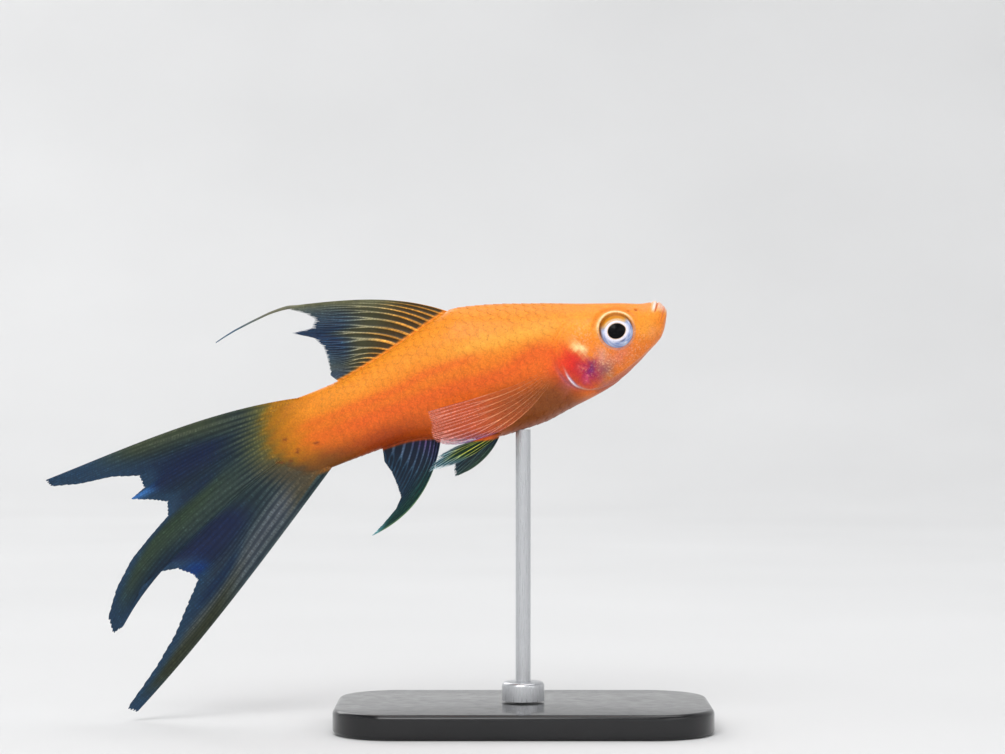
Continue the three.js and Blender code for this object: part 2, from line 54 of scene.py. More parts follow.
# Body outline as [back, value] knots
BACK_LINE = [
    [0, 0.35], [0.15, 0.8], [0.5, 1.25], [1.2, 1.85], [2, 2.05], [3.6, 2.4], [6.5, 3.55], [12.6, 5.7],
    [18.6, 7.95], [24.6, 10.1], [30.8, 11.8], [33, 11.95], [36.1, 11.26], [41.7, 9.75], [47.3, 8.4],
    [53, 7.4], [61, 7.05],
]
BELLY_LINE = [
    [0, -0.15], [0.15, -0.6], [0.4, -1.1], [0.9, -2.0], [1.5, -2.95], [2.4, -3.9], [4.6, -5.14],
    [8.8, -7.2], [12.5, -8.5], [19.9, -9.63], [24, -10.25], [28.5, -10.15], [32, -9.95], [36, -8.9],
    [42.5, -6.33], [47.3, -5.44], [61, -5.5],
]
HALF_WIDTH = [
    [0, 0.7], [0.15, 1.35], [0.4, 1.95], [1, 2.6], [2, 3.15], [4, 3.75], [8.7, 4.75], [14, 5.4],
    [20, 5.85], [27, 6.15], [33, 6.0], [40, 5.0], [48, 3.7], [56, 2.4], [61, 1.3],
]
WIDEST_LEVEL = [[0, 0.2], [2, -0.6], [9, -1.2], [20, -1.0], [30, 0], [45, 1.5], [61, 0.8]]
SECTION_POWER = 2.25

# End of the flesh at the tail, drawn out into a thin edge over the foot of the fin
STEM_END = 61
STEM_BULGE = 3.4
STEM_LEAN = 0.1
STEM_RAMP = 9
WEDGE = 3.6
WEDGE_KEPT = 0.1

# Skin grid: [from, to, rings] along the body, and points round it
SKIN_SPANS = [[0, 3, 66], [3, 21, 150], [21, 60, 130], [60, STEM_END + WEDGE, 26]]
SKIN_SIDES = 260
COAT_DEPTH = 0.1

# Eyes
EYE = {"back": 8.9, "up": -0.39, "side": 4.1, "radius": 2.78, "depth": 1.7}
EYE_FORWARD = math.radians(9)
EYE_UPWARD = math.radians(6)
PUPIL = {"back": 0.2, "up": -0.18, "long": 1.37, "tall": 1.19, "point": 3.3}

# Mouth, nostrils and gill cover
MOUTH = {"back": 1.15, "up": 1.4, "slope": math.radians(52), "reach": 1.25}
NOSTRIL = [4.7, 1.75, 3.05]
REAR_NOSTRIL = [5.9, 2.0, 3.4]
MOUTH_FOLDS = [0.95, -1.05, -1.5]
THROAT_LINES = [-0.45, -0.8]
GILL = {"back": 14.0, "up": -2.4, "radius": 5.7}
CHEEK_PLATE = {"back": 9.9, "up": -3.6, "radius": 4.2}
TAIL_SPOTS = [[63.3, -1.1], [64.9, -2.3], [66.6, -1.8], [59.8, -0.8], [64.6, 1.5]]

# Scales: spacing along the body, rows round it, and size of one scale against its spacing
SCALE_PITCH = 1.42
SCALE_ROWS = 30
SCALE_LONG = 1.9
SCALE_WIDE = 1.16
SCALE_GRID = [6, 7]
SCALES_END = 59
SCALE_EDGE = {"front": -0.05, "rear": 0.05, "dome": 0.015, "thick": 0.1}
ROW_WARP = 0.15
PATCH = 0.0015

# Fins. One row for each main ray: tip [back, up], then how far it bows near root and tip. Roots are
# knots of [share of the fin, back], and the thread is a row of [back, up, radius]
CAUDAL_RAYS = [
    [104.1, 8.6, 0.06, 0.02], [103.6, 7.3, 0.036, 0.022], [99.1, 6.1, 0.031, 0.018],
    [93.6, 5.4, 0.024, 0.001], [89.2, 4.0, 0.031, 0.027], [89.1, 1.9, 0.05, 0.045],
    [91.8, 0.9, 0.045, 0.01], [88.4, -0.4, 0.059, 0.019], [86.2, -1.5, 0.067, 0.043],
    [86.8, -3.7, 0.08, 0.038], [90.8, -5.9, 0.075, 0.021], [94.8, -8.3, 0.063, 0.03],
    [98.8, -11.9, 0.062, 0.053], [101.9, -15.9, 0.057, 0.097], [102.2, -18.7, 0.053, 0.13],
    [100.2, -18.2, 0.061, 0.09], [94.8, -13.0, 0.07, 0.0], [91.5, -11.7, 0.086, -0.03],
    [88.2, -12.2, 0.1, -0.05], [86.2, -13.9, 0.11, -0.068], [85.8, -15.1, 0.12, -0.081],
    [88.9, -18.3, 0.1, -0.081], [92.6, -22.2, 0.073, -0.074], [97.5, -26.2, 0.035, -0.063],
    [104.2, -30.9, 0.008, -0.052], [102.8, -32.0, -0.012, -0.025],
]
CAUDAL_ROOT = {"top": 6.95, "bottom": -5.35}
CAUDAL_WAVE = {"side": 1.2, "turn": 0.22, "shift": 0.6}
DORSAL_RAYS = [
    [57.3, 21.55, 0.12, 0.06], [57.1, 20.98, 0.14, 0.07], [54.7, 19.4, 0.16, 0.06],
    [53.5, 18.0, 0.16, 0.05], [54.5, 16.8, 0.16, 0.02], [57.9, 17.2, 0.14, 0.0],
    [54.7, 15.2, 0.17, 0], [53.7, 13.3, 0.14, 0.01], [53.7, 11.9, 0.18, -0.02],
    [53.8, 10.7, 0.24, -0.04], [53.9, 9.8, 0.26, -0.04], [54.1, 8.6, 0.1, 0.0],
]
DORSAL_ROOTS = [
    [0, 31.2], [0.1, 34.8], [0.27, 37.5], [0.45, 40.0], [0.66, 42.4], [0.82, 44.6], [0.92, 47.4], [1, 52.6],
]
DORSAL_RAY_FIRST = 31.3
DORSAL_RAY_PITCH = 1.25
DORSAL_LEAN = 0.12
FILAMENT = [
    [57.1, 21.28, 0.28], [59.65, 21.41, 0.2], [62.34, 21.21, 0.17], [65.07, 20.89, 0.15],
    [66.98, 20.6, 0.13], [69.9, 19.95, 0.08],
]
FILAMENT_START = 0.93
ANAL_RAYS = [
    [56.9, -17.9, -0.18, -0.21], [54.4, -16.7, -0.19, -0.16], [51.7, -15.2, -0.17, -0.1],
    [50.2, -13.7, -0.12, -0.07], [50.1, -11.6, -0.1, -0.05], [50.2, -9.4, -0.08, -0.04],
    [50.7, -7.4, -0.06, -0.03],
]
ANAL_ROOTS = [[0, 40.2], [0.33, 41.8], [0.67, 44.4], [0.85, 47.0], [1, 50.2]]
PECTORAL_RAYS = [
    [41.2, -2.2, -0.089, -0.006], [41.2, -3.0, -0.098, -0.014], [41.2, -3.9, -0.107, -0.022],
    [41.4, -4.6, -0.113, -0.037], [41.7, -5.3, -0.117, -0.051], [41.8, -6.2, -0.11, -0.08],
    [41.5, -7.1, -0.11, -0.105], [40.5, -7.9, -0.107, -0.14], [38.9, -8.5, -0.1, -0.17],
    [36.8, -8.6, -0.125, -0.18],
]
PECTORAL_ROOT = {
    "from": [20.9, -2.1], "to": [21.3, -4.5], "side": 5.1, "flare": 2.6, "turn": 2.2, "spread": 0.17,
}
PELVIC_RAYS = [
    [40.5, -11.6, -0.044, -0.044], [42.4, -11.4, -0.02, -0.02], [44.7, -11.2, 0.04, 0.05],
    [42.1, -9.3, 0, 0], [39.4, -8.9, 0, 0],
]
PELVIC_ROOT = {
    "from": [31.6, -9.5], "to": [33.6, -9.0], "side": 1.9, "flare": 1.2, "turn": 2.5, "spread": 0.16,
}
FAR_PELVIC_RAYS = [
    [38.9, -13.5, -0.12, -0.12], [41.1, -13.7, -0.07, -0.07], [40.8, -12.4, 0.02, 0.02],
    [40.0, -11.2, 0.02, 0.02], [38.6, -9.9, 0.01, 0.01],
]
FIN_SINK = 1.6
FIN_RIPPLE = 0.1
MEET_FADE = {"web": 2.2, "ray": 3.6, "length": 6.4, "edge": 0.5, "widening": 0.7}

# Fin relief: membrane and ray thickness, the swelling at the root, how the rays fork and fray, and
# how many joints a ray has in each centimetre
FIN_FORM = {
    "web": 0.2, "ray": 0.3, "foot": 1.15, "taper": 9, "margin": 0.12, "ragged": 0.012,
    "density": 1.0, "fork": 0.34, "forks": 2, "apart": 0.3, "broad": 0.17, "fine": 0.055,
    "ray_tip": 0.36, "columns": 20, "rows": 100,
}
RAY_JOINTS = 20.0

# Display stand
BASE = {"length": 60, "width": 36, "height": 4, "corner": 10, "bevel": 0.8}
ROD = {"radius": 1.2, "foot": 4.3, "top": 47.6}
COLLAR = {"inner": 1.5, "radius": 3.4, "low": 4.3, "high": 7.3, "lip": 0.7}

# Camera: the photograph's long lens, level, across the fish
CAMERA = {"x": -3.3, "distance": 446.7, "height": 56, "lens": 100, "sensor": 36}

# Colour bands along the flank, as [back, up] knots
GOLD_BAND = [[8, 3.0], [17, 3.5], [26, 4.7], [32, 5.0], [37, 5.0], [46, 4.4]]
RED_BAND = [[16, 0.4], [22.1, 1.0], [28.6, -0.4], [36.5, 0.2], [43.7, 0.2], [60, 0.2]]
UPPER_RED_BAND = [[29, 3.3], [34, 3.4], [40, 3.5], [44, 2.8], [56, 2.4]]

# Colours as sRGB values
AMBER = (250, 150, 38)
ORANGE = (244, 128, 28)
GOLD = (255, 172, 58)
DEEP = (240, 94, 30)
BURNT_AND_SHADE = (158, 56, 6)
BROWN_AND_SHADE = (134, 72, 24)
ROSY = (160, 90, 66)
STEM_FOOT = [(74, 66, 48), (84, 84, 44)]
OCHRE = (198, 120, 2)
OLIVE = (164, 108, 2)
UMBER = (120, 72, 22)
PEACH = (248, 160, 96)
CREAM_HIGHLIGHT = (255, 226, 160)
RED = (228, 46, 30)
MAGENTA = (168, 30, 86)
VIOLET = (112, 44, 120)
LILAC = (150, 98, 96)
SALMON = (232, 128, 100)
PALE_ROSE = (240, 168, 134)
PEARL = (255, 246, 252)
BRONZE = (110, 48, 12)
APRICOT = (246, 138, 34)
RIM_CREAM = (255, 236, 186)
MAUVE = (196, 150, 170)
LIP_PINK = (250, 206, 190)
STEEL_BLUE = (150, 150, 214)

# Soft spots on the head: [colour, strength, (back, up), (long, wide), turn in degrees, power]
HEAD_SPOTS = [
    [GOLD, 0.7, (14.6, 2.0), (2.8, 1.8), 20, 1],
    [GOLD, 0.7, (4.4, -1.6), (2.4, 1.6), -20, 1],
    [PEACH, 0.6, (3.2, -2.6), (1.3, 0.9), -30, 1],
    [SALMON, 0.8, (9.9, -4.4), (3.2, 1.5), -18, 1],
    [PALE_ROSE, 0.95, (12.4, -3.5), (0.9, 1.5), 16, 0.7],
    [LILAC, 0.95, (12.9, -5.6), (1.3, 1.25), -25, 0.7],
    [(218, 158, 108), 0.8, (12.2, -6.5), (0.6, 0.35), 40, 1],
    [(204, 116, 74), 0.7, (13.6, -6.9), (1.2, 0.6), -10, 1],
    [RED, 1, (17.4, -3.0), (2.0, 2.3), 20, 0.6],
    [MAGENTA, 1, (15.3, -5.0), (1.3, 1.6), 20, 0.5],
    [VIOLET, 0.8, (14.5, -4.4), (0.55, 1.1), 30, 0.8],
    [(226, 86, 120), 0.8, (15.7, -5.8), (0.6, 0.5), 0, 1],
    [(236, 110, 96), 0.7, (16.0, -4.1), (0.7, 0.3), 30, 1],
    # Painted highlight: a cream patch where light catches the top of the gill cover.
    [CREAM_HIGHLIGHT, 1, (15.2, -1.1), (1.45, 0.6), 50, 0.6],
    [APRICOT, 0.9, (13.9, -2.5), (0.3, 1.3), 12, 1],
]

# Pale-speckled places on the head: [strength, (back, up), (long, wide), turn in degrees]
PALE_SPOTS = [
    [0.9, (12.0, -4.4), (1.8, 2.4), 0],
    [0.7, (7.0, -4.2), (4.0, 1.8), -35],
    [0.8, (14.0, 0.8), (2.2, 2.2), 0],
    [0.6, (15.4, -5.0), (1.3, 1.5), 0],
]

# Fin colours: web and ray, how much each hides near the root and outside, then the zones, each as
# web, ray, [middle ray, width] and [from, to] on the way from the root to the margin
CAUDAL_COLOURS = {
    "web": (16, 32, 40), "ray": (58, 72, 70), "hide": [[1, 0.98], [1, 1]],
    "zones": [
        [(14, 34, 44), (24, 44, 52), [13, 99], [0.24, 0.5]],
        [(38, 54, 50), (48, 64, 58), [12.5, 3.4], [0.16, 0.34]],
        [(50, 60, 42), (68, 76, 56), [0.2, 2.4], [0.12, 0.4]],
        [(1, 20, 54), (3, 26, 62), [5.2, 2.4], [0.34, 0.56]],
        [(4, 28, 54), (8, 34, 60), [8.8, 0.9], [0.5, 0.7]],
        [(34, 52, 38), (44, 62, 46), [11.6, 1.7], [0.34, 0.55]],
        [(8, 30, 46), (12, 38, 54), [14.8, 1.0], [0.5, 0.7]],
        [(1, 18, 54), (3, 24, 64), [18, 2.3], [0.4, 0.6]],
        [(52, 60, 70), (90, 98, 104), [22.8, 2.4], [0.1, 0.2]],
        [(4, 30, 60), (8, 38, 70), [21.4, 0.8], [0.5, 0.7]],
        [(32, 38, 24), (46, 50, 32), [24, 1.4], [0.4, 0.62]],
        [(22, 50, 74), (30, 58, 84), [13, 99], [0.82, 0.98]],
        [(40, 94, 160), (60, 116, 180), [6, 0.4], [0.82, 0.93]],
        [(2, 44, 104), (4, 52, 116), [18.9, 0.7], [0.84, 0.95]],
        [(26, 54, 80), (34, 62, 88), [0.8, 2.6], [0.62, 0.86]],
        [(84, 84, 34), (132, 124, 64), [6, 7], [0.24, 0.1]],
        [(140, 116, 4), (230, 200, 44), [1.5, 0.6], [0.17, 0.13]],
    ],
}
DORSAL_COLOURS = {
    "web": (56, 56, 32), "ray": (176, 168, 130), "hide": [[1, 0.97], [1, 1]],
    "zones": [
        [(2, 24, 54), (22, 58, 94), [5.6, 5], [0.5, 0.78]],
        [(32, 48, 68), (80, 100, 120), [10.8, 0.7], [0.3, 0.6]],
        [(110, 110, 78), (140, 140, 108), [0, 1.1], [0.1, 0.4]],
        [(60, 42, 2), (244, 168, 62), [5, 99], [0.5, 0.2]],
    ],
}
FILAMENT_COLOURS = {
    "web": (112, 112, 92), "ray": (112, 112, 92), "hide": [[1, 1], [1, 1]],
    "zones": [[(74, 100, 124), (74, 100, 124), [0, 99], [0.3, 0.9]]],
}
ANAL_COLOURS = {
    "web": (4, 22, 46), "ray": (86, 108, 138), "hide": [[1, 0.97], [1, 1]],
    "zones": [
        [(2, 24, 44), (34, 66, 90), [3, 99], [0.4, 0.7]],
        [(4, 44, 40), (22, 72, 60), [0.4, 1.5], [0.2, 0.5]],
        [(104, 132, 84), (130, 156, 104), [0, 0.16], [0.15, 0.4]],
        [(70, 136, 150), (106, 166, 178), [0, 1.0], [0.88, 1.0]],
        [(20, 24, 60), (116, 96, 154), [3, 2.4], [0.36, 0.16]],
        [(8, 12, 26), (36, 40, 74), [3, 99], [0.16, 0.06]],
    ],
}
PELVIC_COLOURS = {
    "web": (8, 44, 16), "ray": (224, 226, 96), "hide": [[1, 0.94], [1, 1]],
    "zones": [
        [(90, 98, 78), (150, 152, 128), [3.8, 0.9], [0.1, 0.4]],
        [(20, 66, 80), (190, 226, 234), [2, 99], [0.5, 0.85]],
        [(130, 76, 28), (180, 120, 44), [2, 99], [0.14, 0.04]],
    ],
}
FAR_PELVIC_COLOURS = {
    "web": (14, 40, 58), "ray": (62, 92, 108), "hide": [[1, 0.9], [1, 0.97]],
    "zones": [
        [(44, 72, 56), (90, 118, 98), [0, 1.4], [0.1, 0.4]],
        [(130, 76, 28), (160, 104, 40), [2, 99], [0.14, 0.04]],
    ],
}
PECTORAL_COLOURS = {
    "web": (200, 92, 48), "ray": (240, 172, 122), "hide": [[0.0, 0.34], [0.16, 0.6]],
    "zones": [
        [(188, 80, 60), (232, 156, 138), [5, 99], [0.42, 0.75]],
        [(104, 70, 140), (150, 120, 184), [9, 2.2], [0.6, 0.8]],
    ],
}


def curve(knots):
    """Values between knots on a smooth curve."""
    at, value = np.array(knots, float).T
    order = np.arange(len(at))
    before = np.maximum(order - 1, 0)
    after = np.minimum(order + 1, len(at) - 1)
    slope = (value[after] - value[before]) / (at[after] - at[before])

    def read(x):
        x = np.asarray(x, float)
        i = np.clip(np.searchsorted(at, x) - 1, 0, len(at) - 2)
        span = at[i + 1] - at[i]
        t = np.clip((x - at[i]) / span, 0, 1)
        rise = value[i + 1] - value[i]
        lead = slope[i] * span - rise
        trail = rise - slope[i + 1] * span
        return value[i] + rise * t + t * (1 - t) * ((1 - t) * lead + t * trail)

    return read


back_line = curve(BACK_LINE)
belly_line = curve(BELLY_LINE)
half_width = curve(HALF_WIDTH)
widest_level = curve(WIDEST_LEVEL)
gold_band = curve(GOLD_BAND)
red_band = curve(RED_BAND)
upper_red_band = curve(UPPER_RED_BAND)
dorsal_foot = curve(DORSAL_ROOTS)
anal_foot = curve(ANAL_ROOTS)


def lerp(a, b, t):
    return a + (b - a) * t


def smooth(x, low, high):
    """0 below low, 1 above high, and an even turn between."""
    t = np.clip((x - low) / (high - low), 0, 1)
    return t * t * (3 - 2 * t)


def fall(x, low, high):
    """1 below low, 0 above high, and an even turn between."""
    return 1 - smooth(x, low, high)


def bump(x, centre, width):
    return np.exp(-(((x - centre) / width) ** 2))


def spot(point, at, size, turn=0):
    """A soft, uneven ellipse in side view, at [back, up], its long axis turned by so many degrees."""
    back, up = point[..., 0], point[..., 2]
    away_back = back - at[0]
    away_up = up - at[1]
    for depth, wave in ((0.2, 2.3), (0.12, 6.1), (0.08, 13.7)):
        away_back = away_back + depth * np.sin(wave * (up + 0.5 * back))
        away_up = away_up + depth * np.sin(1.2 * wave * (back - 0.4 * up))
    cos, sin = math.cos(math.radians(turn)), math.sin(math.radians(turn))
    along = away_back * cos + away_up * sin
    across = away_up * cos - away_back * sin
    return np.exp(-((along / size[0]) ** 2 + (across / size[1]) ** 2))


def place(point):
    """From [back, side, up] along the fish, in millimetres, to the frame's metres."""
    back, side, up = np.moveaxis(point, -1, 0)
    sway = SWAY_SIDE * (np.maximum(back - SWAY_START, 0) / SWAY_REACH) ** 2
    cos, sin = math.cos(NOSE_UP), math.sin(NOSE_UP)
    x = SNOUT_X - back * cos - up * sin
    z = SNOUT_HEIGHT - back * sin + up * cos
    return np.stack([x, side + sway, z], -1) * MM


# Meshes

def grid_faces(rows, columns, wrap=False):
    """Quads of a grid of points; wrap joins the last column to the first."""
    row = np.arange(rows - 1)[:, None] * columns
    column = np.arange(columns if wrap else columns - 1)[None, :]
    here = row + column
    beside = row + (column + 1) % columns
    return np.stack([here, beside, beside + columns, here + columns], -1).reshape(-1, 4)


def sheet_faces(rows, columns):
    """Quads of a closed sheet: two grids of points, one behind the other, joined round the edge."""
    count = rows * columns
    index = np.arange(count).reshape(rows, columns)
    edge = np.concatenate([index[0, :-1], index[:-1, -1], index[-1, :0:-1], index[:0:-1, 0]])
    ahead = np.roll(edge, -1)
    face = grid_faces(rows, columns)
    wall = np.stack([ahead, edge, edge + count, ahead + count], -1)
    return np.concatenate([face, face[:, ::-1] + count, wall])


def tube_faces(rings, sides):
    """Faces of a closed tube: rings of points, then one point more to close each end."""
    step = np.arange(sides)
    ahead = (step + 1) % sides
    last_ring = (rings - 1) * sides
    near = np.stack([ahead, step, np.full(sides, rings * sides)], -1)
    far = np.stack([step + last_ring, ahead + last_ring, np.full(sides, rings * sides + 1)], -1)
    return grid_faces(rings, sides, wrap=True).tolist() + near.tolist() + far.tolist()


def with_ends(grid):
    """A tube's points in one list, with the middle of its first and last ring at the end."""
    ends = np.stack([grid[0].mean(0), grid[-1].mean(0)])
    return np.concatenate([grid.reshape(-1, grid.shape[-1]), ends])


def volume_sign(points, faces):
    """Whether the first, second and third corners of the faces turn outwards."""
    corner = points[np.array([face[:3] for face in faces])]
    other = points[np.array([[face[0], face[2], face[-1]] for face in faces])]
    total = 0.0
    for part in (corner, other):
        total += np.einsum("ij,ij->i", part[:, 0], np.cross(part[:, 1], part[:, 2])).sum()
    return total > 0


def corner_points(mesh):
    """Which point each face corner is at."""
    corner = np.empty(len(mesh.loops), int)
    mesh.loops.foreach_get("vertex_index", corner)
    return corner


def lay_uv(mesh, name, spots):
    """Gives each face corner its point's place on the map; faces across the seam stay whole."""
    corner = corner_points(mesh)
    start = np.empty(len(mesh.polygons), int)
    mesh.polygons.foreach_get("loop_start", start)
    size = np.diff(np.append(start, len(corner)))
    place_on_map = spots[corner].astype(float)
    highest = np.repeat(np.maximum.reduceat(place_on_map[:, 0], start), size)
    place_on_map[:, 0] += highest - place_on_map[:, 0] > 0.5
    mesh.uv_layers.new(name=name).data.foreach_set("uv", place_on_map.ravel())


def linear(paint):
    """From sRGB values up to 255 to linear ones up to 1."""
    share = np.clip(np.asarray(paint, float) / 255, 0, 1)
    return np.where(share <= 0.04045, share / 12.92, ((share + 0.055) / 1.055) ** 2.4)


def add_piece(name, points, faces, material, paint=None, maps=None):
    """A closed mesh on the root body, smooth, facing outwards, with its colours and UV maps."""
    if isinstance(faces, np.ndarray):
        faces = faces.tolist()
    if not volume_sign(points, faces):
        faces = [face[::-1] for face in faces]
    mesh = bpy.data.meshes.new(name)
    mesh.from_pydata(points.tolist(), [], faces)
    mesh.polygons.foreach_set("use_smooth", np.ones(len(mesh.polygons), bool))
    for map_name, spots in (maps or {}).items():
        lay_uv(mesh, map_name, spots)
    if paint is not None:
        colours = mesh.color_attributes.new("Paint", "FLOAT_COLOR", "POINT")
        full = np.concatenate([linear(paint[:, :3]), paint[:, 3:4]], 1)
        colours.data.foreach_set("color", full.ravel())
    mesh.materials.append(material)
    mesh.update()
    piece = bpy.data.objects.new(name, mesh)
    bpy.context.scene.collection.objects.link(piece)
    return piece


def own(piece, slot, *nodes):
    """The piece rides on the one body and stands for these solids; the slot is not used."""
    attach(piece, "root")
    if nodes:
        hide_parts(*nodes)


# Materials

class Look:
    """A material with one Principled shader, and short ways to add nodes to it."""

    def __init__(self, name, **sockets):
        self.material = bpy.data.materials.new(name)
        self.material.use_nodes = True
        self.tree = self.material.node_tree
        self.shader = self.tree.nodes["Principled BSDF"]
        for socket, value in sockets.items():
            self.shader.inputs[socket.replace("_", " ")].default_value = value

    def node(self, kind, inputs=None, **settings):
        node = self.tree.nodes.new(kind)
        for setting, value in settings.items():
            setattr(node, setting, value)
        for socket, value in (inputs or {}).items():
            if isinstance(value, bpy.types.NodeSocket):
                self.tree.links.new(value, node.inputs[socket])
            else:
                node.inputs[socket].default_value = value
        return node

    def set(self, socket, value):
        self.tree.links.new(value, self.shader.inputs[socket])

    def paint(self):
        return self.node("ShaderNodeVertexColor", layer_name="Paint")

    def noise(self, scale, detail=3, roughness=0.5):
        where = self.node("ShaderNodeTexCoord").outputs["Object"]
        values = {"Vector": where, "Scale": scale, "Detail": detail, "Roughness": roughness}
        return self.node("ShaderNodeTexNoise", values).outputs["Fac"]

    def ramp(self, factor, low, high, at_low=0.0, at_high=1.0):
        """Takes a factor from low..high to at_low..at_high."""
        values = {"Value": factor, "From Min": low, "From Max": high, "To Min": at_low, "To Max": at_high}
        return self.node("ShaderNodeMapRange", values).outputs["Result"]

    def speckle(self, scale, detail=3, roughness=0.5, spread=(0.3, 0.7), to=(0.0, 1.0)):
        """A noise, with its middle part spread out between two values."""
        return self.ramp(self.noise(scale, detail, roughness), *spread, *to)

    def tint(self, factor, colour, low, high):
        """Multiplies a colour by one that runs from low to high."""
        return self.blend(1.0, colour, self.blend(factor, (*low, 1), (*high, 1)), "MULTIPLY")

    def blend(self, factor, below, above, mode="MIX"):
        """Mixes two colours, each a socket or a plain colour."""
        node = self.node("ShaderNodeMix", data_type="RGBA", blend_type=mode)
        for socket, value in ((0, factor), (6, below), (7, above)):
            if isinstance(value, bpy.types.NodeSocket):
                self.tree.links.new(value, node.inputs[socket])
            else:
                node.inputs[socket].default_value = value
        return node.outputs[2]

    def reckon(self, operation, *values):
        return self.node("ShaderNodeMath", dict(enumerate(values)), operation=operation).outputs[0]

    def times(self, one, other):
        return self.reckon("MULTIPLY", one, other)

    def bumps(self, height, strength, distance, under=None):
        values = {"Height": height, "Strength": strength, "Distance": distance}
        if under is not None:
            values["Normal"] = under
        return self.node("ShaderNodeBump", values).outputs["Normal"]


def skin_look(name):
    """Painted skin, grained: the paint's fourth value is how dark-speckled it is, or how pale below 0."""
    look = Look(
        name, Coat_Weight=0.09, Coat_Roughness=0.2, Specular_IOR_Level=0.22,
        Subsurface_Weight=0.06, Subsurface_Radius=(1.0, 0.3, 0.1), Subsurface_Scale=0.0012,
    )
    paint = look.paint()
    grain = look.speckle(3400, 4, 0.65)
    colour = look.tint(grain, paint.outputs["Color"], (0.8, 0.74, 0.7), (1.12, 1.14, 1.16))
    colour = look.tint(look.speckle(700, 4, 0.6), colour, (0.93, 0.88, 0.86), (1.05, 1.07, 1.08))
    dark = look.speckle(4800, spread=(0.56, 0.68))
    dark = look.times(dark, look.ramp(paint.outputs["Alpha"], 0.0, 1.0))
    colour = look.blend(dark, colour, (0.22, 0.06, 0.014, 1))
    pale = look.speckle(3000, 4, 0.6, (0.52, 0.64))
    pale = look.times(pale, look.ramp(paint.outputs["Alpha"], 0.0, -1.0))
    colour = look.blend(pale, colour, look.blend(0.55, colour, (1.0, 0.62, 0.36, 1)))
    look.set("Base Color", colour)
    look.set("Roughness", look.speckle(1500, to=(0.36, 0.5)))
    look.set("Normal", look.bumps(look.noise(3400, 4, 0.65), 0.22, 0.0002))
    return look.material


def fin_look(name):
    """Fin membrane with jointed rays and painted highlights (glints) along them: the paint's fourth value is
    how much it hides.
    """
    look = Look(
        name, Coat_Weight=0.06, Coat_Roughness=0.2, Specular_IOR_Level=0.22,
        Subsurface_Weight=0.03, Subsurface_Radius=(0.5, 0.5, 0.6), Subsurface_Scale=0.0005,
    )
    paint = look.paint()
    spots = look.node("ShaderNodeUVMap", uv_map="Rays").outputs["UV"]
    parts = look.node("ShaderNodeSeparateXYZ", {"Vector": spots})
    ray, run = parts.outputs["X"], parts.outputs["Y"]
    share = look.reckon("FRACT", look.times(run, RAY_JOINTS))
    away = look.reckon("ABSOLUTE", look.reckon("SUBTRACT", share, 0.5))
    joint = look.ramp(away, 0.34, 0.46)
    on_ray = look.ramp(ray, 0.35, 0.8)
    dark = look.ramp(look.times(joint, on_ray), 0.0, 1.0, 0.0, 0.4)
    # Painted highlights: where a fine noise peaks on a ray, the colour is lifted 2.2 times into a bright
    # glint.
    painted_glint = look.times(look.speckle(1900, 3, 0.7, (0.52, 0.68), (0.0, 0.7)), on_ray)
    mottle = look.speckle(1500, 4, 0.65)
    colour = look.tint(mottle, paint.outputs["Color"], (0.76, 0.78, 0.82), (1.18, 1.16, 1.1))
    lit = look.blend(1.0, colour, (2.2, 2.2, 2.2, 1), "MULTIPLY")
    colour = look.blend(painted_glint, colour, lit)
    colour = look.blend(dark, colour, (0.010, 0.014, 0.014, 1))
    look.set("Base Color", colour)
    look.set("Alpha", paint.outputs["Alpha"])
    look.set("Roughness", look.speckle(2200, 2, to=(0.32, 0.48)))
    look.set("Normal", look.bumps(joint, 0.2, 0.00005, look.bumps(look.noise(5200, 2), 0.1, 0.0001)))
    return look.material


def eye_look():
    look = Look("eye_gloss", Coat_Weight=0.1, Coat_Roughness=0.03, Roughness=0.35, Specular_IOR_Level=0.06)
    grain = look.speckle(7000, spread=(0.35, 0.7))
    paint = look.paint().outputs["Color"]
    look.set("Base Color", look.tint(grain, paint, (0.84, 0.86, 0.9), (1.06, 1.05, 1.04)))
    return look.material


def base_look():
    look = Look("base_gloss", Coat_Weight=0.25, Coat_Roughness=0.08, Specular_IOR_Level=0.35)
    look.set("Base Color", look.blend(look.speckle(120), (0.005, 0.005, 0.006, 1), (0.009, 0.009, 0.010, 1)))
    look.set("Roughness", look.speckle(600, 4, to=(0.16, 0.26)))
    return look.material


def steel_look():
    look = Look("rod_steel", Metallic=1.0, Anisotropic=0.4)
    where = look.node("ShaderNodeTexCoord").outputs["Object"]
    squeeze = look.node("ShaderNodeMapping", {"Vector": where, "Scale": (9000, 9000, 300)})
    values = {"Vector": squeeze.outputs["Vector"], "Scale": 1.0, "Detail": 2}
    brushed = look.node("ShaderNodeTexNoise", values).outputs["Fac"]
    look.set("Base Color", look.blend(brushed, (0.50, 0.51, 0.53, 1), (0.66, 0.67, 0.69, 1)))
    look.set("Roughness", look.ramp(brushed, 0.3, 0.7, 0.24, 0.38))
    look.set("Normal", look.bumps(brushed, 0.08, 0.00005))
    return look.material


# Body

def stem_end(up):
    middle = (back_line(STEM_END) + belly_line(STEM_END)) / 2
    reach = (back_line(STEM_END) - belly_line(STEM_END)) / 2
    level = (up - middle) / reach
    return STEM_LEAN * (up - middle) + STEM_BULGE * np.maximum(1 - level * level, 0)


def body_point(back, angle):
    """The flesh as the solids have it, as [back, side, up]."""
    level = widest_level(back)
    above = back_line(back) - level
    below = level - belly_line(back)
    cos, sin = np.cos(angle), np.sin(angle)
    reach = (np.abs(cos) ** SECTION_POWER + np.abs(sin) ** SECTION_POWER) ** (-1 / SECTION_POWER)
    up = level + reach * sin * np.where(sin > 0, above, below)
    thin = lerp(1, WEDGE_KEPT, smooth(back, STEM_END, STEM_END + WEDGE))
    side = reach * cos * half_width(back) * thin
    ramp = smooth(back, STEM_END - STEM_RAMP, STEM_END)
    return np.stack([back + ramp * stem_end(up), side, up], -1)


